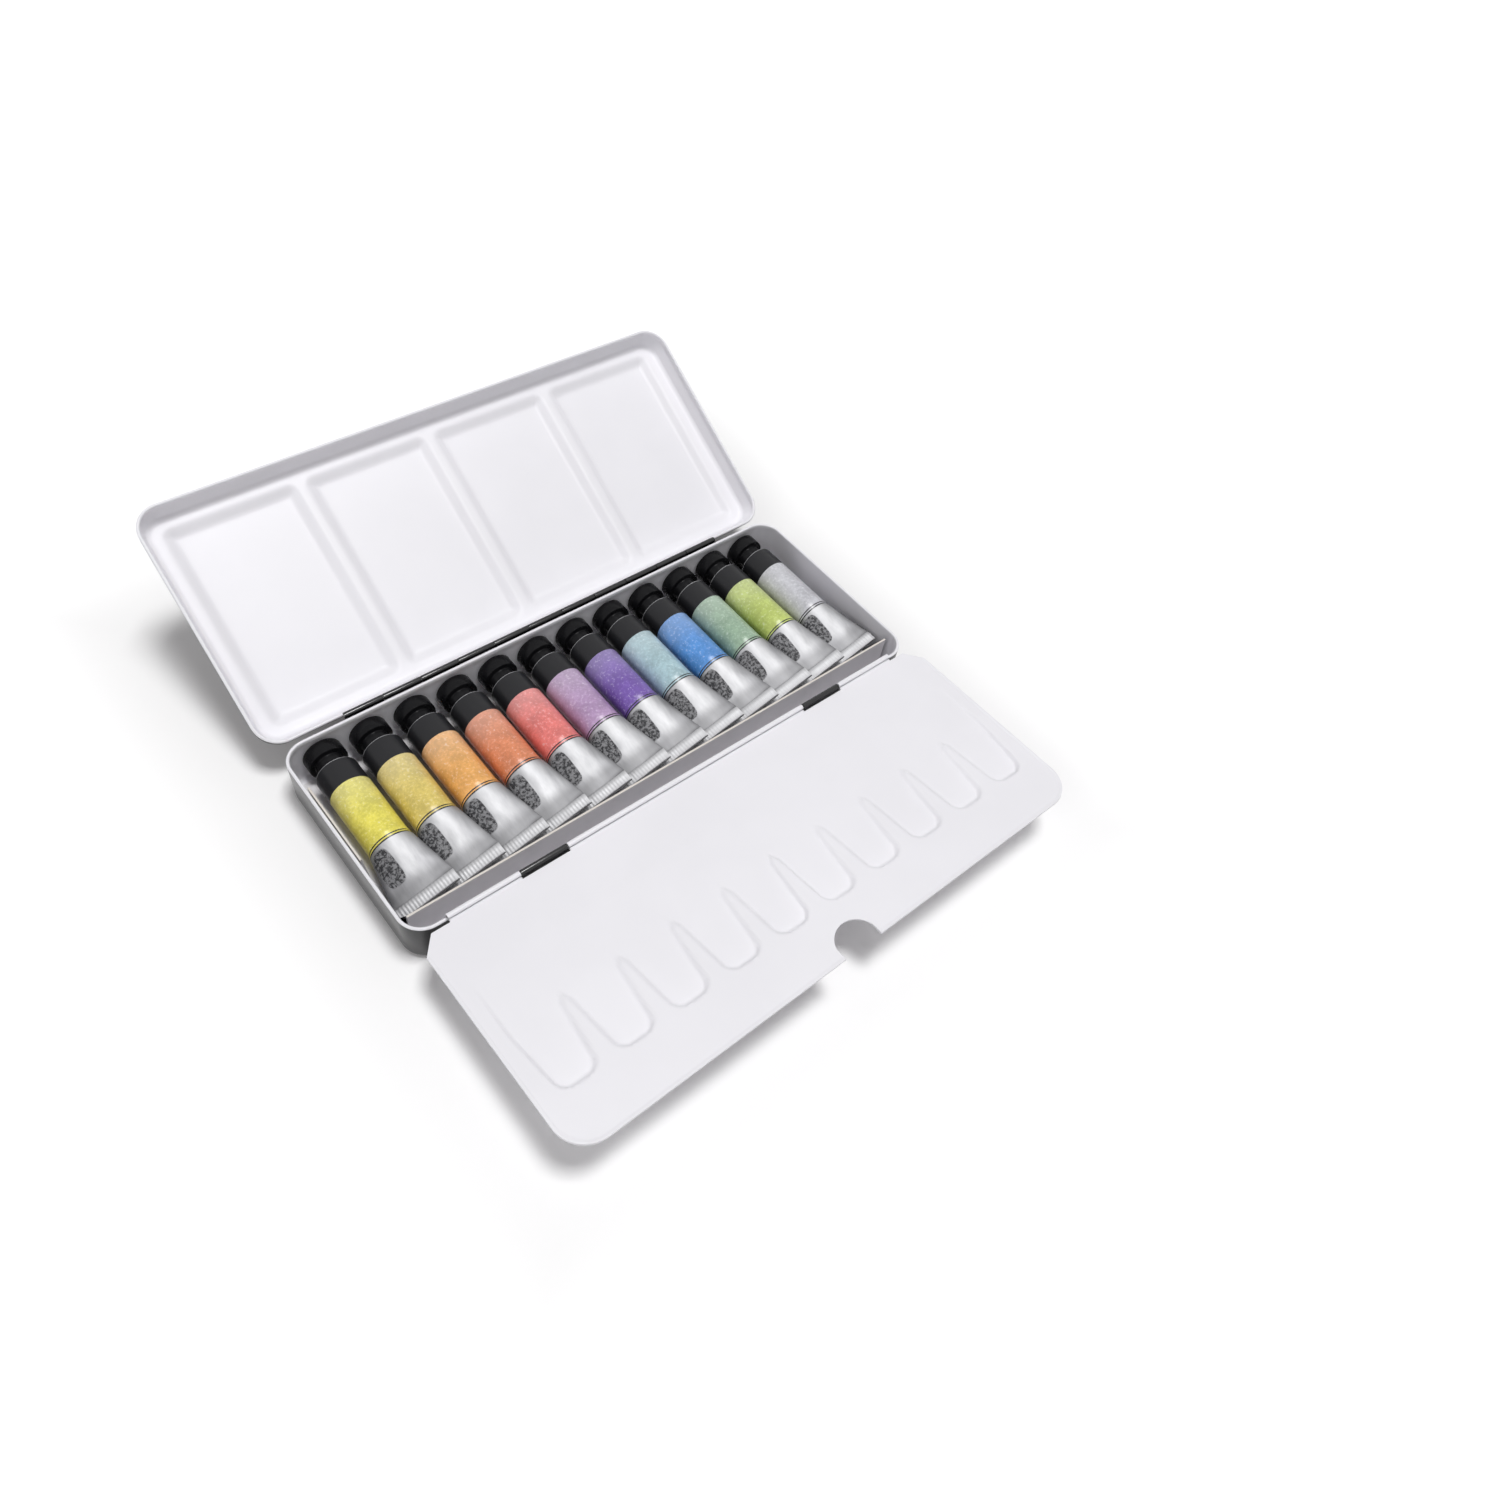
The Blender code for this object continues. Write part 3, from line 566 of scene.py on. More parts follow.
# %% Tongues and hem of the flap
TONGUES, TONGUE_PITCH, TONGUE_SINK = 10, 21.8, 1.8
TONGUE_FADE, TONGUE_END, TONGUE_APEX, TONGUE_ROUND = 22.0, 71.5, 47.0, 5.5
TONGUE_HALF, TONGUE_CREST, TONGUE_SLOPE, TONGUE_SPREAD = 8.1, 0.7, 1.6, 0.5
FOLD_WIDTH, FOLD_EASE, FOLD_START, FOLD_FADE = 1.25, 0.4, 8.8, 0.8


def tongue_depth(x, y):
    """Sink of the tongues: a floor that falls toward the front, eased at each tongue's edge."""
    along = -y
    which = np.clip(np.floor(x / TONGUE_PITCH + TONGUES / 2), 0, TONGUES - 1)
    centre = (which + 0.5 - TONGUES / 2) * TONGUE_PITCH
    full = TONGUE_PITCH / 2 - TONGUE_CREST
    shoulder = TONGUE_END - TONGUE_ROUND
    taper = (full - TONGUE_HALF) / (shoulder - TONGUE_APEX)
    half = full - np.maximum(along - TONGUE_APEX, 0) * taper
    half = half + np.maximum(TONGUE_APEX - along, 0) * TONGUE_SPREAD
    past = np.clip((along - shoulder) / TONGUE_ROUND, 0, 1)
    half = np.where(along > shoulder, TONGUE_HALF * np.sqrt(1 - past ** 2), half)
    edge = np.minimum(half - np.abs(x - centre), TONGUES * TONGUE_PITCH / 2 - TONGUE_CREST - np.abs(x))
    edge = np.minimum(edge, TONGUE_END - along)
    floor = TONGUE_SINK * np.clip((along - TONGUE_FADE) / (TONGUE_END - TONGUE_FADE), 0, 1)
    return floor * smooth(edge / TONGUE_SLOPE)


def hem_swell(x, y):
    """1 along the hemmed side and front edges, falling to 0 inside the hem."""
    inside = inside_rectangle(x, y, (2 * FLAP_HALF, 2 * FLAP_REACH), FLAP_CORNER)
    return smooth((FOLD_WIDTH - inside) / FOLD_EASE) * smooth((-y - FOLD_START) / FOLD_FADE)


print("tongues", TONGUES, "sink", TONGUE_SINK, "mm")

# %% Sheet of the flap
FLAP_TOP, FLAP_BOTTOM, EDGE_EASE = -0.55, -1.15, 0.12
HEM_RAISE, HEM_DROP = 0.2, 0.35
REAR_ROWS, MIDDLE_ROWS, MIDDLE_SPAN = 8, 96, (-9.0, -77.0)
FRONT_SHARES = np.array([0.2, 0.4, 0.6, 0.75, 0.84, 0.88, 0.91, 0.94, 0.96, 0.98, 1.0])


def flap_loops(x):
    """Closed loops of the flap, one for each column: top, front edge, underside, rear edge.

    Both faces sink with the tongues, and the hem's swell raises the top and lowers the underside.
    """
    rear, front = flap_rear(x)[:, None], flap_front(x)[:, None]
    back = rear + (MIDDLE_SPAN[0] - rear) * np.linspace(0, 1, REAR_ROWS + 1)[:-1]
    middle = np.broadcast_to(np.linspace(*MIDDLE_SPAN, MIDDLE_ROWS), (len(x), MIDDLE_ROWS))
    ahead = MIDDLE_SPAN[1] + (front - MIDDLE_SPAN[1]) * FRONT_SHARES
    y = np.concatenate([back, middle, ahead], axis=1)
    wide = np.broadcast_to(x[:, None], y.shape)
    sink, swell = tongue_depth(wide, y), hem_swell(wide, y)
    over = np.stack([wide, y, FLAP_TOP - sink + HEM_RAISE * swell], axis=-1)
    under = np.stack([wide, y, FLAP_BOTTOM - sink - HEM_DROP * swell], axis=-1)[:, ::-1]
    lip = (over[:, -1] + under[:, 0]) / 2
    over[:, -1, 1] += EDGE_EASE
    under[:, 0, 1] += EDGE_EASE
    return np.concatenate([over, lip[:, None], under], axis=1)


loops = flap_loops(columns)
flat_ends = loops[[0, -1]].copy()
flat_ends[..., 2] = (FLAP_TOP + FLAP_BOTTOM) / 2
flap_grid = np.concatenate([flat_ends[:1], loops, flat_ends[1:]])
flap_shells = [(turned(flap_grid, *FRONT_AXIS, -FLAP_RISE), 0)]
make_piece("palette_sheet", flap_shells, [white_enamel],
           "palette_flap", "palette_flap", sharp=50.0)

# %% [markdown]
# ## Hinge pins
#
# The pins are straight drawn wires that barely show. Their solids in the frame already have the
# right shape, so they only get a finish: bare steel with fine drawing marks along the wire.

# %% Steel of the pins
STEEL_DARK, STEEL_LIGHT = (0.42, 0.42, 0.43), (0.62, 0.62, 0.63)
DRAWING_MARKS, ALONG_WIRE = 900.0, (0.02, 1.0, 1.0)
STEEL_ROUGH, STREAK_ROUGH = 0.25, 0.2


def drawn_steel(name):
    """Bare wire, brighter and duller in fine streaks along X."""
    finish = Finish(name, Metallic=1.0)
    streak = finish.noise(DRAWING_MARKS, stretch=ALONG_WIRE)
    tone = finish.mix(streak, shade(STEEL_DARK), shade(STEEL_LIGHT))
    return finish.feed(Base_Color=tone, Roughness=STEEL_ROUGH + streak * STREAK_ROUGH)


pin_steel = drawn_steel("drawn_steel")
for pin in ("rear_hinge_pin", "front_hinge_pin"):
    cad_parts[pin].data.materials.clear()
    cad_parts[pin].data.materials.append(pin_steel)
print("pins finished")

# %% [markdown]
# ## The card under the tubes
#
# A strip of white board is folded into a floor and a front wall that keeps the tubes from sliding
# into the trough, with a wing along the left wall. A thickened plane would do, but a drawn section
# keeps the crease round outside and tight inside. Board is matt, slightly mottled by its fibres, and
# buff where it was cut.

# %% Card finish
CARD, CARD_FOLD, CARD_EDGE, CARD_TOP = 0.8, 1.2, 0.1, 17.5
BOARD_DARK, BOARD_LIGHT, BOARD_CUT = (0.70, 0.685, 0.70), (0.78, 0.765, 0.775), (0.74, 0.69, 0.62)
FIBRES, FIBRE_HEIGHT, ALONG_CARD = 1500.0, 0.00003, (0.25, 1.0, 1.0)
BOARD_CLOUDS, BOARD_ROUGH, FIBRE_ROUGH = 90.0, 0.68, 0.2
CUT_START, CUT_FULL, CUT_COVER, CUT_FIBRES = 0.25, 0.05, 0.6, 0.4


def board(name):
    """White board with faint fibres, buff along its cut top edge."""
    finish = Finish(name, Specular_IOR_Level=0.25)
    fibre = finish.noise(FIBRES, detail=3.0, rough=0.6, stretch=ALONG_CARD)
    face = finish.mix(finish.noise(BOARD_CLOUDS), shade(BOARD_DARK), shade(BOARD_LIGHT))
    cut = finish.z.ramp((CARD_TOP - CUT_START) * MM, (CARD_TOP - CUT_FULL) * MM)
    tone = finish.mix(cut * (CUT_COVER + fibre * CUT_FIBRES), face, shade(BOARD_CUT))
    finish.bump(fibre, FIBRE_HEIGHT)
    return finish.feed(Base_Color=tone, Roughness=BOARD_ROUGH + fibre * FIBRE_ROUGH)


white_board = board("white_board")
print("board", BOARD_DARK, "to", BOARD_LIGHT)

# %% Floor and front wall of the card
CARD_FLOOR, CARD_HALF, CARD_REAR, CARD_FRONT = 0.9, 110.5, 41.0, -36.2
CREASE_STEPS = 6

crease_middle = (CARD_FRONT + CARD_FOLD, CARD_FLOOR + CARD_FOLD)
section = np.concatenate([
    [(CARD_FRONT, CARD_TOP - CARD_EDGE)],
    arc(crease_middle, CARD_FOLD, 180, 270, CREASE_STEPS),
    [(CARD_REAR, CARD_FLOOR), (CARD_REAR, CARD_FLOOR + CARD)],
    arc(crease_middle, CARD_FOLD - CARD, 270, 180, CREASE_STEPS),
    [(CARD_FRONT + CARD, CARD_TOP - CARD_EDGE)],
    [(CARD_FRONT + CARD - CARD_EDGE, CARD_TOP), (CARD_FRONT + CARD_EDGE, CARD_TOP)],
])
card_shells = [(drawn(section, -CARD_HALF, CARD_HALF), 0)]
make_piece("card_tray", card_shells, [white_board], "base", "card_insert", sharp=30.0)

# %% Wing of the card
WING_FRONT, WING_REAR, WING_TOP = -9.0, 27.0, 18.4
WING_LEAN, WING_INSET, WING_CREASE = 1.8, 0.1, CARD_FLOOR + CARD / 2
WING_HEIGHTS = np.array([1.8, 2.0, 6.0, 12.0, WING_TOP - CARD_EDGE, WING_TOP])
WING_EASE = CARD_EDGE * np.array([1.0, 0.0, 0.0, 0.0, 0.0, 1.0])


def wing_rings():
    """Sections of the leaning wing from its foot to its cut edge: a thin upright rectangle."""
    lean = WING_LEAN * (WING_HEIGHTS - WING_CREASE) / (WING_TOP - WING_CREASE)
    left = WING_INSET - CARD_HALF - lean + WING_EASE
    right = WING_INSET - CARD_HALF - lean + CARD - WING_EASE
    front, rear = WING_FRONT + WING_EASE, WING_REAR - WING_EASE
    x = np.stack([left, right, right, left], axis=-1)
    y = np.stack([front, front, rear, rear], axis=-1)
    return np.stack([x, y, np.broadcast_to(WING_HEIGHTS[:, None], x.shape)], axis=-1)


wing_shells = [(capped(wing_rings()), 0)]
make_piece("card_wing", wing_shells, [white_board], "base", "card_insert", sharp=30.0)

# %% [markdown]
# ## Paint tubes
#
# A paint tube is drawn from soft aluminium. Its round body is printed, and its open end is
# flattened after filling and folded over. It could be sculpted, but the metal doesn't stretch, and
# that gives a rule: one ring of points runs from the neck to the fold, and its width grows while
# its thickness shrinks, so the length round it stays about the same.

# %% Rings of a tube
TUBE_RADIUS, BODY_START, FLARE, FOLD, FOLD_HALF, FOLD_THICK = 8.0, 12.0, 46.8, 70.2, 11.9, 0.9
FLARE_SHORT, FLARE_TUCK = 1.2, 0.14
BODY_RINGS, FLARE_RINGS = 12, 34
NECK = np.array([
    (3.6, 3.2), (9.9, 3.2), (10.0, 3.3), (10.1, 5.5), (10.35, 7.2), (10.7, 7.75), (11.1, 7.95), (11.6, 8.0)])
SEAL = np.array([
    (-0.4, 0.62, 0.7), (0.0, 0.6, 0.45), (0.15, 0.72, 0.38), (0.5, 0.88, 0.35), (2.2, 0.9, 0.35),
    (2.35, 0.84, 0.35), (4.5, 0.82, 0.35), (4.7, 0.62, 0.38)])


def tube_rings():
    """Distance along, half width, half thickness and squareness of each ring of a tube.

    NECK holds distance and radius, and SEAL the distance past the fold, thickness and squareness.
    """
    body = np.full(BODY_RINGS, TUBE_RADIUS)
    reach = np.linspace(BODY_START, FLARE, BODY_RINGS)
    share = np.linspace(0, 1, FLARE_RINGS + 1)[1:]
    widening = TUBE_RADIUS + (FOLD_HALF - FLARE_TUCK - TUBE_RADIUS) * share
    thinning = TUBE_RADIUS + (FOLD_THICK - TUBE_RADIUS) * share
    along = [NECK[:, 0], reach, FLARE + (FOLD - FLARE_SHORT - FLARE) * share, FOLD + SEAL[:, 0]]
    wide = [NECK[:, 1], body, widening, np.full(len(SEAL), FOLD_HALF)]
    thick = [NECK[:, 1], body, thinning, SEAL[:, 1]]
    power = [np.ones(len(NECK) + BODY_RINGS + FLARE_RINGS), SEAL[:, 2]]
    return [np.concatenate(parts)[:, None] for parts in (along, wide, thick, power)]


print("rings of a tube", len(tube_rings()[0]))

# %% Shape of a tube
TUBES, TUBE_PITCH, TUBE_Z, TUBE_REAR, TUBE_TILT = 12, 18.04, 10.0, 43.9, math.radians(15.0)
TUBE_SIDES = 64
DENT, DENT_START, DENT_RISE, DENT_END, DENT_FALL = 0.28, 4.0, 8.0, 1.0, 4.0
CREASES = ((0.55, 0.42, 0.17, 1.0), (0.45, 0.27, -0.29, 2.3))


def dents(along, x, phase):
    """Sink of the creases in a flattened tail: two sets of slanting folds that fade at both ends.

    Each set has a share, how fast it runs across and along the tail, and how far phase shifts it.
    """
    rise = smooth((along - FLARE - DENT_START) / DENT_RISE)
    fall = smooth((FOLD - DENT_END - along) / DENT_FALL)
    folds = 0.0
    for share, wide, far, shift in CREASES:
        folds = folds + share * np.abs(np.sin(wide * x + far * along + shift * phase))
    return DENT * rise * fall * folds


def tube_grid(middle, phase):
    """Rings of one tube: circles to the flare, then ellipses that flatten and crease to the fold.

    Across a ring, x is half width times cosine and z half thickness times sine, both to the power
    of squareness. The creases sink z, and the whole ring leans by the tilt.
    """
    along, wide, thick, power = tube_rings()
    a = np.radians(np.linspace(0, 360, TUBE_SIDES, endpoint=False))
    x = wide * np.sign(np.cos(a)) * np.abs(np.cos(a)) ** power
    z = thick * np.sign(np.sin(a)) * np.abs(np.sin(a)) ** power
    z = z * (1.0 - dents(along, x, phase) / thick)
    y = np.broadcast_to(TUBE_REAR - along, x.shape)
    right = middle + x * math.cos(TUBE_TILT) - z * math.sin(TUBE_TILT)
    high = TUBE_Z + x * math.sin(TUBE_TILT) + z * math.cos(TUBE_TILT)
    return capped(np.stack([right, y, high], axis=-1))


tube_middles = (np.arange(TUBES) - (TUBES - 1) / 2) * TUBE_PITCH
print("tubes at", np.round(tube_middles, 2))

# %% [markdown]
# ## Tube finish
#
# The print is a black band at the shoulder, a mottled colour field with a double line at its end,
# and bare metal beyond with a plain patch. An unwrapped picture would be the usual way, but the
# print runs round the tube, so the distance along Y is enough to place it. Metal is switched on
# only where nothing is printed.

# %% Label colours and print
LABELS = (
    ("lemon", (0.84, 0.75, 0.12)), ("ochre", (0.76, 0.60, 0.16)), ("orange", (0.87, 0.44, 0.13)),
    ("copper", (0.77, 0.27, 0.13)), ("coral", (0.84, 0.22, 0.20)), ("mauve", (0.48, 0.32, 0.53)),
    ("violet", (0.20, 0.11, 0.44)), ("turquoise", (0.42, 0.59, 0.64)), ("blue", (0.10, 0.30, 0.70)),
    ("sage", (0.33, 0.47, 0.34)), ("lime", (0.54, 0.64, 0.17)), ("silver", (0.58, 0.58, 0.62)),
)
BAND_START, LABEL_START, PAINTED_SHEEN_END, LABEL_END, LINE = 11.1, 21.3, 40.0, 49.2, 0.45
INK, PALE_PRINT_AND_SHEEN = (0.014, 0.014, 0.016), (0.86, 0.86, 0.87)
MOTTLE, MOTTLE_SHARE, MOTTLE_RAMP = 160.0, 0.55, (0.32, 0.68)
FIELD_DARK, FIELD_LIGHT = 0.76, 1.1
PALE_SPECKS, PAINTED_SHEEN_AT_BAND, SPECK_RAMP = 0.35, 0.16, (0.56, 0.74)


def in_band(along):
    """1 on the black band at the shoulder."""
    return (along > BAND_START) * (along < LABEL_START)


def label_print(finish, along, speck, color):
    """Colour of the print: a mottled field with pale print specks, a painted sheen that pales it toward the
    band, and black band and lines.
    """
    mottle = finish.noise(MOTTLE, detail=3.0, rough=0.6)
    spots = (mottle * MOTTLE_SHARE + speck * (1 - MOTTLE_SHARE)).ramp(*MOTTLE_RAMP)
    field = finish.mix(spots, shade(color, FIELD_DARK), shade(color, FIELD_LIGHT))
    # Painted sheen: a ramp along the tube pales the field toward the band; the pale specks are print.
    start = 1 - along.ramp(LABEL_START, PAINTED_SHEEN_END)
    field = finish.mix(speck.ramp(*SPECK_RAMP) * PALE_SPECKS + start * PAINTED_SHEEN_AT_BAND, field, shade(PALE_PRINT_AND_SHEEN))
    lines = (along > LABEL_END - 2 * LINE) * (along < LABEL_END - LINE) + (along > LABEL_END)
    return finish.mix(lines + in_band(along), field, shade(INK))


print("labels", [name for name, color in LABELS])

# %% Bare metal of the tail
# Metal tones: painted dark and light reflections, a painted glint strip, and painted shade before the fold;
# the fold itself is even.
PAINTED_DARK_REFLECTION, PAINTED_LIGHT_REFLECTION = (0.24, 0.24, 0.25), (0.50, 0.50, 0.51)
SEALED, FOLD_SHADE = (0.42, 0.42, 0.43), (0.15, 0.15, 0.155)
GRAIN_DARK, GRAIN_LIGHT = (0.035, 0.035, 0.038), (0.26, 0.26, 0.27)
CREASE_SHARE, PAINTED_REFLECTION_RAMP, PAINTED_GLINT, PAINTED_GLINT_SHARE = 0.6, (0.26, 0.74), (2.0, 5.5, 5.0), 0.4
FOLD_SHADE_START, FOLD_SHADE_FULL, FOLD_SHADE_SHARE = 8.0, 3.0, 0.6
PATCH, PATCH_REACH, PATCH_EDGE = (57.5, -5.0), (6.8, 3.6), (0.8, 1.1)


def tail_metal(finish, along, across, crease, streak):
    """Colour of the metal: painted reflections along creases and streaks and a painted glint, painted shade
    before the fold and an even tone on it.
    """
    # Painted reflections: the metal is made darker and lighter along creases and streaks, with a painted
    # glint strip along the tail.
    painted_reflection = (crease * CREASE_SHARE + streak * (1 - CREASE_SHARE)).ramp(*PAINTED_REFLECTION_RAMP)
    painted_reflection = painted_reflection * (1 - PAINTED_GLINT_SHARE) + across.near(*PAINTED_GLINT) * PAINTED_GLINT_SHARE
    metal = finish.mix(painted_reflection, shade(PAINTED_DARK_REFLECTION), shade(PAINTED_LIGHT_REFLECTION))
    # Painted shade: the metal darkens just before the fold.
    painted_fold_shade = along.ramp(FOLD - FOLD_SHADE_START, FOLD - FOLD_SHADE_FULL) * FOLD_SHADE_SHARE
    metal = finish.mix(painted_fold_shade, metal, shade(FOLD_SHADE))
    return finish.mix(along > FOLD, metal, shade(SEALED))


def tail_patch(along, across):
    """1 on a patch with rounded corners, where fourth powers of both distances add up to under 1."""
    p = (along - PATCH[0]) * (1.0 / PATCH_REACH[0])
    q = (across - PATCH[1]) * (1.0 / PATCH_REACH[1])
    return 1 - (p * p * (p * p) + q * q * (q * q)).ramp(*PATCH_EDGE)


print("patch at", PATCH, "mm along and across")

# %% Tube finish and tubes
SPECKS, TUBE_CREASES, TUBE_STREAKS = 900.0, 150.0, 420.0
CREASE_STRETCH, STREAK_STRETCH = (1.0, 0.45, 1.0), (1.0, 0.12, 1.0)
STREAK_RELIEF, CRIMP_RELIEF, SPECK_RELIEF, TUBE_RELIEF = 0.5, 0.5, 0.05, 0.00016
METAL_ROUGH, CREASE_ROUGH, LABEL_ROUGH, SPECK_ROUGH, LABEL_COAT = 0.5, 0.24, 0.3, 0.1, 0.4
BARE_MARGIN, CRIMP, GRAIN_RAMP, PHASE_STEP = 0.5, 1.3, (0.4, 0.62), 1.7


def tube_finish(name, color, middle):
    """Printed aluminium: black band, mottled label with painted sheen, two lines, a plain patch, and creased
    metal with painted reflections and shade.
    """
    finish = Finish(f"tube_{name}_print", Coat_Roughness=0.3, Specular_IOR_Level=0.25)
    along = (TUBE_REAR * MM - finish.y) * (1 / MM)
    right = (finish.x - middle * MM) * (math.cos(TUBE_TILT) / MM)
    across = right + (finish.z - TUBE_Z * MM) * (math.sin(TUBE_TILT) / MM)
    speck = finish.noise(SPECKS, rough=0.7)
    crease = finish.noise(TUBE_CREASES, stretch=CREASE_STRETCH)
    streak = finish.noise(TUBE_STREAKS, detail=3.0, rough=0.6, stretch=STREAK_STRETCH)
    patch = tail_patch(along, across)
    grain = finish.mix(speck.ramp(*GRAIN_RAMP), shade(GRAIN_DARK), shade(GRAIN_LIGHT))
    metal = finish.mix(patch, tail_metal(finish, along, across, crease, streak), grain)
    bare = (along < BAND_START) + (along > LABEL_END + BARE_MARGIN)
    crimps = (along > FOLD) * (across.wave(CRIMP) * 0.5 + 0.5)
    relief = (crease + streak * STREAK_RELIEF + crimps * CRIMP_RELIEF) * bare
    finish.bump(relief + speck * SPECK_RELIEF, TUBE_RELIEF)
    rough = bare * (METAL_ROUGH + crease * CREASE_ROUGH)
    rough = rough + (1 - bare) * (LABEL_ROUGH + speck * SPECK_ROUGH)
    gloss = (1 - bare) * (1 - in_band(along)) * LABEL_COAT
    tone = finish.mix(bare, label_print(finish, along, speck, color), metal)
    return finish.feed(Base_Color=tone, Metallic=bare * (1 - patch), Roughness=rough, Coat_Weight=gloss)


for k, (label, color) in enumerate(LABELS):
    node = f"tube_{k + 1:02d}"
    print_finish = tube_finish(label, color, tube_middles[k])
    shells = [(tube_grid(tube_middles[k], PHASE_STEP * k), 0)]
    make_piece(f"paint_{node}", shells, [print_finish], node, node, sharp=35.0)

# %% [markdown]
# ## Screw caps
#
# The caps are round mouldings: a wide disc that the tube can stand on and a narrower waist. A Screw
# modifier could spin their outline. Here the half section is carried round the tube's axis as a
# grid, like every other piece. Moulded plastic is smooth with a faint haze.

# %% Cap plastic
PLASTIC_DARK, PLASTIC_LIGHT = (0.005, 0.005, 0.006), (0.010, 0.010, 0.011)
HAZE, MOULD_GRAIN, MOULD_HEIGHT = 220.0, 1400.0, 0.00001
PLASTIC_ROUGH, HAZE_ROUGH = 0.2, 0.16


def cap_plastic(name):
    """Smooth black moulding, slightly hazy in places."""
    finish = Finish(name, Specular_IOR_Level=0.1)
    haze = finish.noise(HAZE, detail=3.0)
    tone = finish.mix(haze, shade(PLASTIC_DARK), shade(PLASTIC_LIGHT))
    finish.bump(finish.noise(MOULD_GRAIN), MOULD_HEIGHT)
    return finish.feed(Base_Color=tone, Roughness=PLASTIC_ROUGH + haze * HAZE_ROUGH)


black_plastic = cap_plastic("moulded_black_plastic")
print("plastic", PLASTIC_DARK, "to", PLASTIC_LIGHT)

# %% Caps
CAP_DISC, CAP_WAIST, CAP_BORE, CAP_FACE = 7.4, 5.2, 3.6, 4.0
CAP_EDGE, CAP_MOUTH, CAP_ROOF, CAP_SIDES = 5.6, 9.6, 3.2, 56
CAP_ROUND = np.array([(-0.35, 0.0), (-0.18, 0.04), (-0.05, 0.14), (0.0, 0.32)])
CAP_NECK = np.array([(0.5, 0.0), (0.2, 0.1), (0.05, 0.25), (0.0, 0.5)])
CAP_LIP = np.array([(0.0, -0.3), (-0.1, -0.08), (-0.3, 0.0)])


def cap_section():
    """Half section of a cap, as radius and distance from its closed end."""
    return np.concatenate([
        [(0.0, 0.0), (CAP_FACE, 0.0)],
        CAP_ROUND + (CAP_DISC, 0.0),
        [(CAP_DISC, CAP_EDGE / 2)],
        CAP_ROUND[::-1] * (1, -1) + (CAP_DISC, CAP_EDGE),
        CAP_NECK + (CAP_WAIST, CAP_EDGE),
        CAP_LIP + (CAP_WAIST, CAP_MOUTH),
        [(CAP_BORE, CAP_MOUTH), (CAP_BORE, CAP_ROOF), (0.0, CAP_ROOF)],
    ])


def cap_grid(middle):
    """A cap's half section carried round its tube's axis: radius times cosine and sine."""
    radius, along = cap_section().T[..., None]
    a = np.radians(np.linspace(0, 360, CAP_SIDES, endpoint=False))
    x = middle + radius * np.cos(a)
    z = TUBE_Z + radius * np.sin(a)
    return np.stack([x, np.broadcast_to(TUBE_REAR - along, x.shape), z], axis=-1)


for k, middle in enumerate(tube_middles):
    node = f"cap_{k + 1:02d}"
    shells = [(cap_grid(middle), 0)]
    make_piece(f"screw_{node}", shells, [black_plastic], node, node, sharp=35.0)

# %% [markdown]
# ## Floor, light and camera
#
# The object lies on a white table under a soft box overhead, with a weaker and larger one to the
# left that opens the shadows. Enough light to whiten the floor would wash out the enamel. So the
# floor and the world glow only for rays that are seen: the page turns white far from the object,
# and near it the floor still takes the shadow.

# %% Floor
FLOOR_COLOR, FLOOR_HALF, FLOOR_DROP = (0.97, 0.97, 0.97), 6.0, 0.0004
UNSEEN, GLOW_NEAR = (0.0, 0.0, 0.0), (0.045, 0.040, 0.041)
GLOW_ROUND, GLOW_FAR = (0.3, 0.3, 0.3), (1.0, 1.0, 1.0)
SIDE_EDGE, FRONT_EDGE, FAR_EDGE = (0.122, 0.2), (0.14, 0.22), (0.3, 1.6)


def white_floor():
    """A matt pale floor that glows a little where it is seen, and fully far from the object."""
    finish = Finish("pale_floor", Base_Color=shade(FLOOR_COLOR), Roughness=0.9, Emission_Strength=1.0)
    aside = abs(finish.x).ramp(*SIDE_EDGE)
    ahead = abs(finish.y).ramp(*FRONT_EDGE)
    glow = finish.mix(aside.maths("MAXIMUM", aside, ahead), shade(GLOW_NEAR), shade(GLOW_ROUND))
    reach = finish.node("ShaderNodeVectorMath", {"operation": "LENGTH"}, {0: finish.place}, "Value")
    glow = finish.mix(reach.ramp(*FAR_EDGE), glow, shade(GLOW_FAR))
    return finish.feed(Emission_Color=finish.mix(finish.seen(), shade(UNSEEN), glow))


floor_mesh = bpy.data.meshes.new("floor")
floor_corners = [(x * FLOOR_HALF, y * FLOOR_HALF, -FLOOR_DROP) for x, y in SIGNS]
floor_mesh.from_pydata(floor_corners, [], [(0, 1, 2, 3)])
floor_mesh.materials.append(white_floor())
floor = bpy.data.objects.new("floor", floor_mesh)
bpy.context.scene.collection.objects.link(floor)
print("floor", 2 * FLOOR_HALF, "m wide")

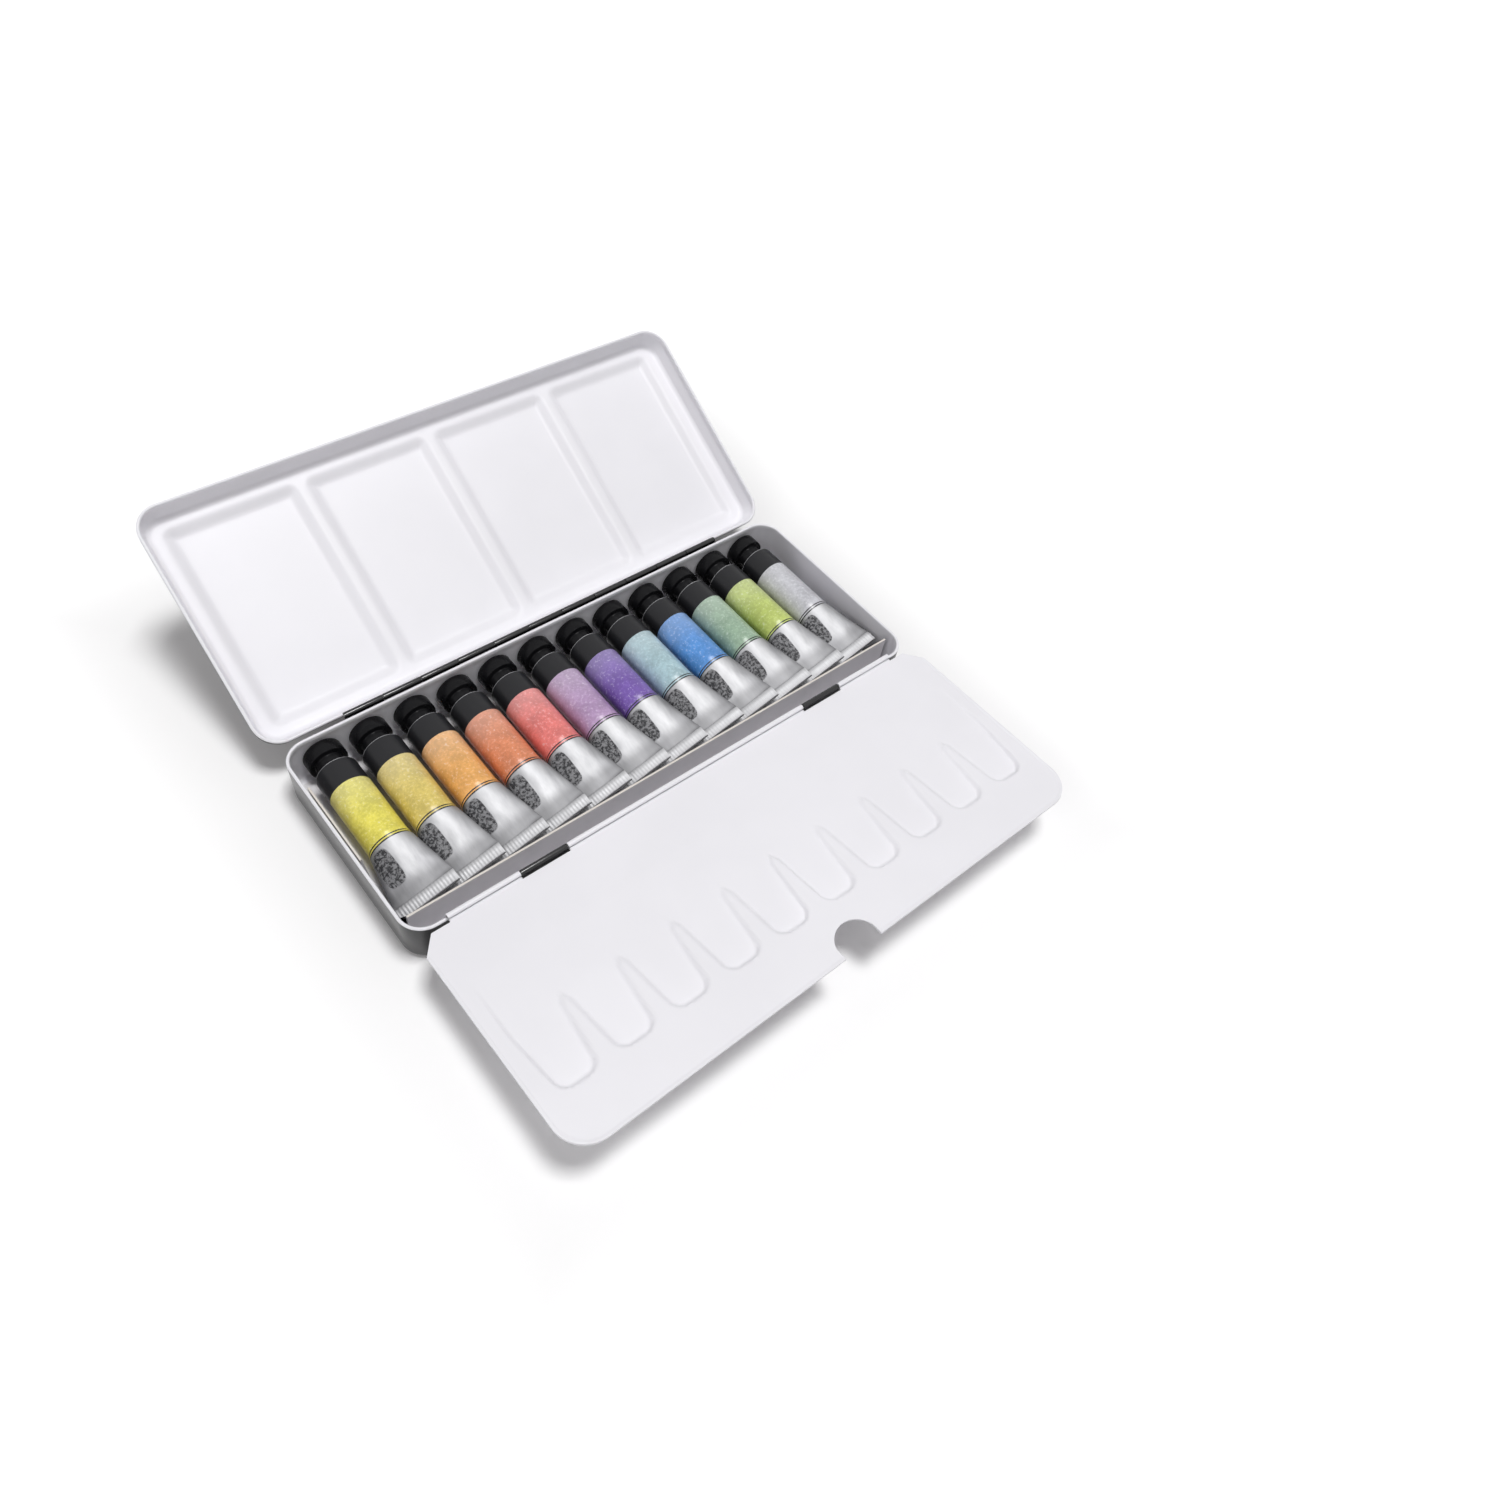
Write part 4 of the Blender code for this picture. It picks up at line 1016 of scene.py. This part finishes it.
# %% Lamps and world
WORLD_LIGHT = (0.23, 0.23, 0.233, 1.0)
WORLD_SEEN = (1.0, 1.0, 1.0, 1.0)


def lamp(name, energy, size, place):
    """A square soft box that faces the origin."""
    data = bpy.data.lights.new(name, "AREA")
    data.energy = energy
    data.size = size
    box = bpy.data.objects.new(name, data)
    bpy.context.scene.collection.objects.link(box)
    box.location = place
    lean = math.atan2(math.hypot(place[0], place[1]), place[2])
    box.rotation_euler = (lean, 0.0, math.atan2(place[0], -place[1]))


lamp("key", energy=58.0, size=0.8, place=(0.3, -0.3, 2.96))
lamp("fill", energy=12.0, size=1.6, place=(-2.4, -0.6, 1.65))
world = bpy.data.worlds.new("studio")
world.use_nodes = True
sky = Tree(world.node_tree)
backdrop = sky.mix(sky.seen(), WORLD_LIGHT, WORLD_SEEN)
sky.plug(world.node_tree.nodes["Background"].inputs["Color"], backdrop)
bpy.context.scene.world = world
print("lamps and world ready")

# %% Camera
AZIMUTH, ELEVATION, ROLL = -49.573, 52.168, 11.959
EYE = np.array([-0.17755, -0.22179, 0.36285])
SENSOR, FOCAL, NEAREST = 36.0, 1162.32 / 1500.0, 0.01


def camera_axes():
    """Right, up and back directions from azimuth, elevation and roll."""
    a, e, r = (math.radians(v) for v in (AZIMUTH, ELEVATION, ROLL))
    back = np.array([math.sin(a) * math.cos(e), -math.cos(a) * math.cos(e), math.sin(e)])
    right = np.array([math.cos(a), math.sin(a), 0.0])
    up = np.cross(back, right)
    return right * math.cos(r) + up * math.sin(r), up * math.cos(r) - right * math.sin(r), back


lens = bpy.data.cameras.new("camera")
lens.sensor_width = SENSOR
lens.lens = SENSOR * FOCAL
lens.clip_start = NEAREST
camera = bpy.data.objects.new("camera", lens)
bpy.context.scene.collection.objects.link(camera)
turn = np.eye(4)
turn[:3, :3] = np.stack(camera_axes(), axis=-1)
turn[:3, 3] = EYE
camera.matrix_world = Matrix(turn.tolist())
bpy.context.scene.camera = camera
bpy.context.scene.view_settings.view_transform = "Standard"
print("lens", round(lens.lens, 2))
